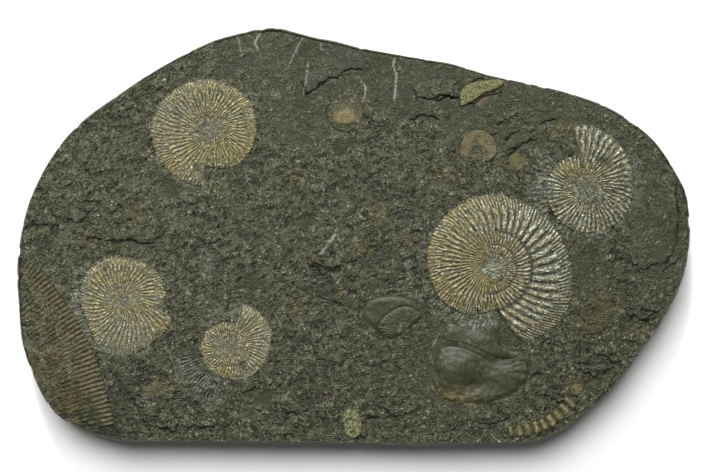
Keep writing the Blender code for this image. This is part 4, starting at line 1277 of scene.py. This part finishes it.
def small_middle(x, y, depth):
    """Ribbed oval with a groove round it, inside a smooth crescent."""
    oval = within(x, y, OVAL, 6)
    angle, away = np.arctan2(y + 41.6, x - 22.8), np.hypot(x - 22.8, y + 41.6)
    ribbed = smoothstep(0, 0.6, oval) * smoothstep(2, 5, away)
    rib = 0.5 + 0.5 * np.cos(angle * 45 + 2 * noise(x / 5, y / 5, 820))
    worn = smoothstep(5, 2, away) + smoothstep(0.1, 0.6, fractal(x, y, 4, 822, 3)) * 0.4
    groove = bump(oval + 0.2, 0.4)
    height = swell(x, y) + 0.55 * smoothstep(0, 2.5, depth) + 0.12 * fractal(x, y, 6, 824, 2)
    height += 0.35 * smoothstep(0, 1.6, oval) - 0.3 * groove + 0.25 * (rib - 0.5) * ribbed
    height += 0.12 * fractal(x, y, 1.5, 829, 3) * (oval > 0)
    # painted shade in the groove and the rib furrows
    furrow = 0.6 * groove + 0.35 * (1 - rib) * ribbed
    return height, 0.25 * ribbed * rib, furrow, np.clip(worn * (oval > 0), 0, 0.8)


def small_upper(x, y, depth):
    """Faintly ribbed ring, worn away on its lower side."""
    away, angle = np.hypot(x - 55.5, y - 36), np.arctan2(y - 36, x - 55.5)
    ring = smoothstep(3.2, 4.6, away) * smoothstep(32, 37, y)
    rib = 0.5 + 0.5 * np.cos(angle * 40 + 2 * noise(x / 4, y / 4, 825))
    worn = 1 - ring * smoothstep(0.5, 0.0, fractal(x, y, 5, 826, 3))
    # painted shade in the rib furrows
    return (0.35 + 0.5 * ring + 0.2 * (rib - 0.5) * ring, 0.5 * ring, 0.5 * (1 - rib) * ring,
            np.clip(0.35 + worn, 0, 1))


def round_upper(x, y, depth):
    """Low lens with painted shade along its lower edge, and a striped fan above it."""
    lens = np.exp(-(((x + 3.8) / 6) ** 2 + ((y - 52.4) / np.where(y > 52.4, 4, 3.4)) ** 2) ** 2)
    stripe = (x + 0.3 * y) * 4.2
    fan = np.exp(-(((x + 1.8) / 6.5) ** 2 + ((y - 57) / 4) ** 2) ** 2) * (0.5 + 0.5 * np.cos(stripe))
    stripes = 0.08 * np.cos(stripe + 2 * noise(x / 4, y / 4, 827)) * smoothstep(55, 57.5, y)
    # painted shade along the lens's lower edge
    dark = 0.7 * bump(y - 49.6 - 0.02 * (x + 4) ** 2, 0.5)
    return (0.5 + 0.7 * lens + stripes + 0.15 * fractal(x, y, 3, 828, 3), 0.5 * lens + 0.6 * fan,
            dark + 0.3 * fan, 1 - np.maximum(0.85 * lens, 0.6 * fan))


def lower_crust(x, y, depth):
    """Lumpy crust with dark pits, worn at its edge."""
    worn = smoothstep(0.1, 0.6, fractal(x, y, 2.5, 835, 3)) * 0.7 + smoothstep(1.6, 0.2, depth) * 0.6
    # the dark pits are painted shade; the crust's shape has no pits
    pits = 0.5 * (noise(x, y, 842) > 0.45)
    return 0.8 + 0.4 * fractal(x, y, 1.8, 830, 3), 0.5 * noise(x / 3, y / 3, 840), pits, worn


def upper_crust(x, y, depth):
    """Lumpy flake, more stained at its right end, worn at its edge."""
    worn = smoothstep(0.2, 0.7, fractal(x, y, 3, 855, 3)) * 0.6 + smoothstep(1.2, 0.2, depth) * 0.6
    return 0.9 + 0.3 * fractal(x, y, 2.2, 850, 3), 0.2 + 0.6 * smoothstep(62, 66, x), np.zeros(len(x)), worn


shell("lower_mussel_valve", "mussel_lower", mussel, lower_mussel, 0.45)
shell("upper_mussel_valve", "mussel_upper", mussel, upper_mussel, 0.45)
shell("small_middle_shell", "ammonite_small_middle", mussel, small_middle, 0.3)
shell("small_upper_coil", "ammonite_small_upper", tan, small_upper, 0.3)
shell("round_upper_shell", "shell_upper", tan, round_upper, 0.35)
shell("lower_pyrite_crust", "pyrite_crust_lower", crust, lower_crust, 0.3)
shell("upper_pyrite_crust", "pyrite_crust_upper", crust, upper_crust, 0.3)

# The studio: a wide pale floor that turns up far out, a broad and a raking light from the slab's upper
# side, and a pale sky. The camera looks straight down on the slab through a long lens, and takes in 314 mm
# of its face.
FRAME_WIDTH = 314.4
LENS = 120
SENSOR = 36
FLAT_FLOOR = 2500

floor = started("floor", bpy.ops.mesh.primitive_grid_add, x_subdivisions=60, y_subdivisions=60, size=24)
spots = places(floor)
away = np.hypot(spots[:, 0], spots[:, 1])
spots[:, 2] = 1300 * np.maximum(0, (away - FLAT_FLOOR) / 9500) ** 2
put(floor, spots)
bpy.ops.object.shade_smooth()
paper, tree, shader = new_finish("pale paper")
feed(tree, shader, Base_Color=(0.93, 0.93, 0.92, 1), Roughness=0.9, Specular_IOR_Level=0.1)
floor.data.materials.append(paper)

sky = bpy.data.worlds.new("pale sky")
sky.use_nodes = True
feed(sky.node_tree, sky.node_tree.nodes["Background"], Color=(1.0, 0.99, 0.95, 1), Strength=0.08)
bpy.context.scene.world = sky

for name, strength, spread, down, turned in (("broad light", 3.6, 40, 31, 12),
                                             ("raking light", 2.4, 10, 60, 8)):
    light = bpy.data.objects.new(name, bpy.data.lights.new(name, "SUN"))
    light.data.energy = strength
    light.data.angle = math.radians(spread)
    light.rotation_euler = (math.radians(-down), 0, math.radians(turned))
    bpy.context.scene.collection.objects.link(light)

camera = bpy.data.objects.new("camera", bpy.data.cameras.new("camera"))
camera.data.lens = LENS
camera.data.sensor_width = SENSOR
camera.location = (0.2 * MM, 0.1 * MM, (FACE + FRAME_WIDTH * LENS / SENSOR) * MM)
bpy.context.scene.collection.objects.link(camera)
bpy.context.scene.camera = camera
bpy.context.scene.view_settings.view_transform = "Standard"
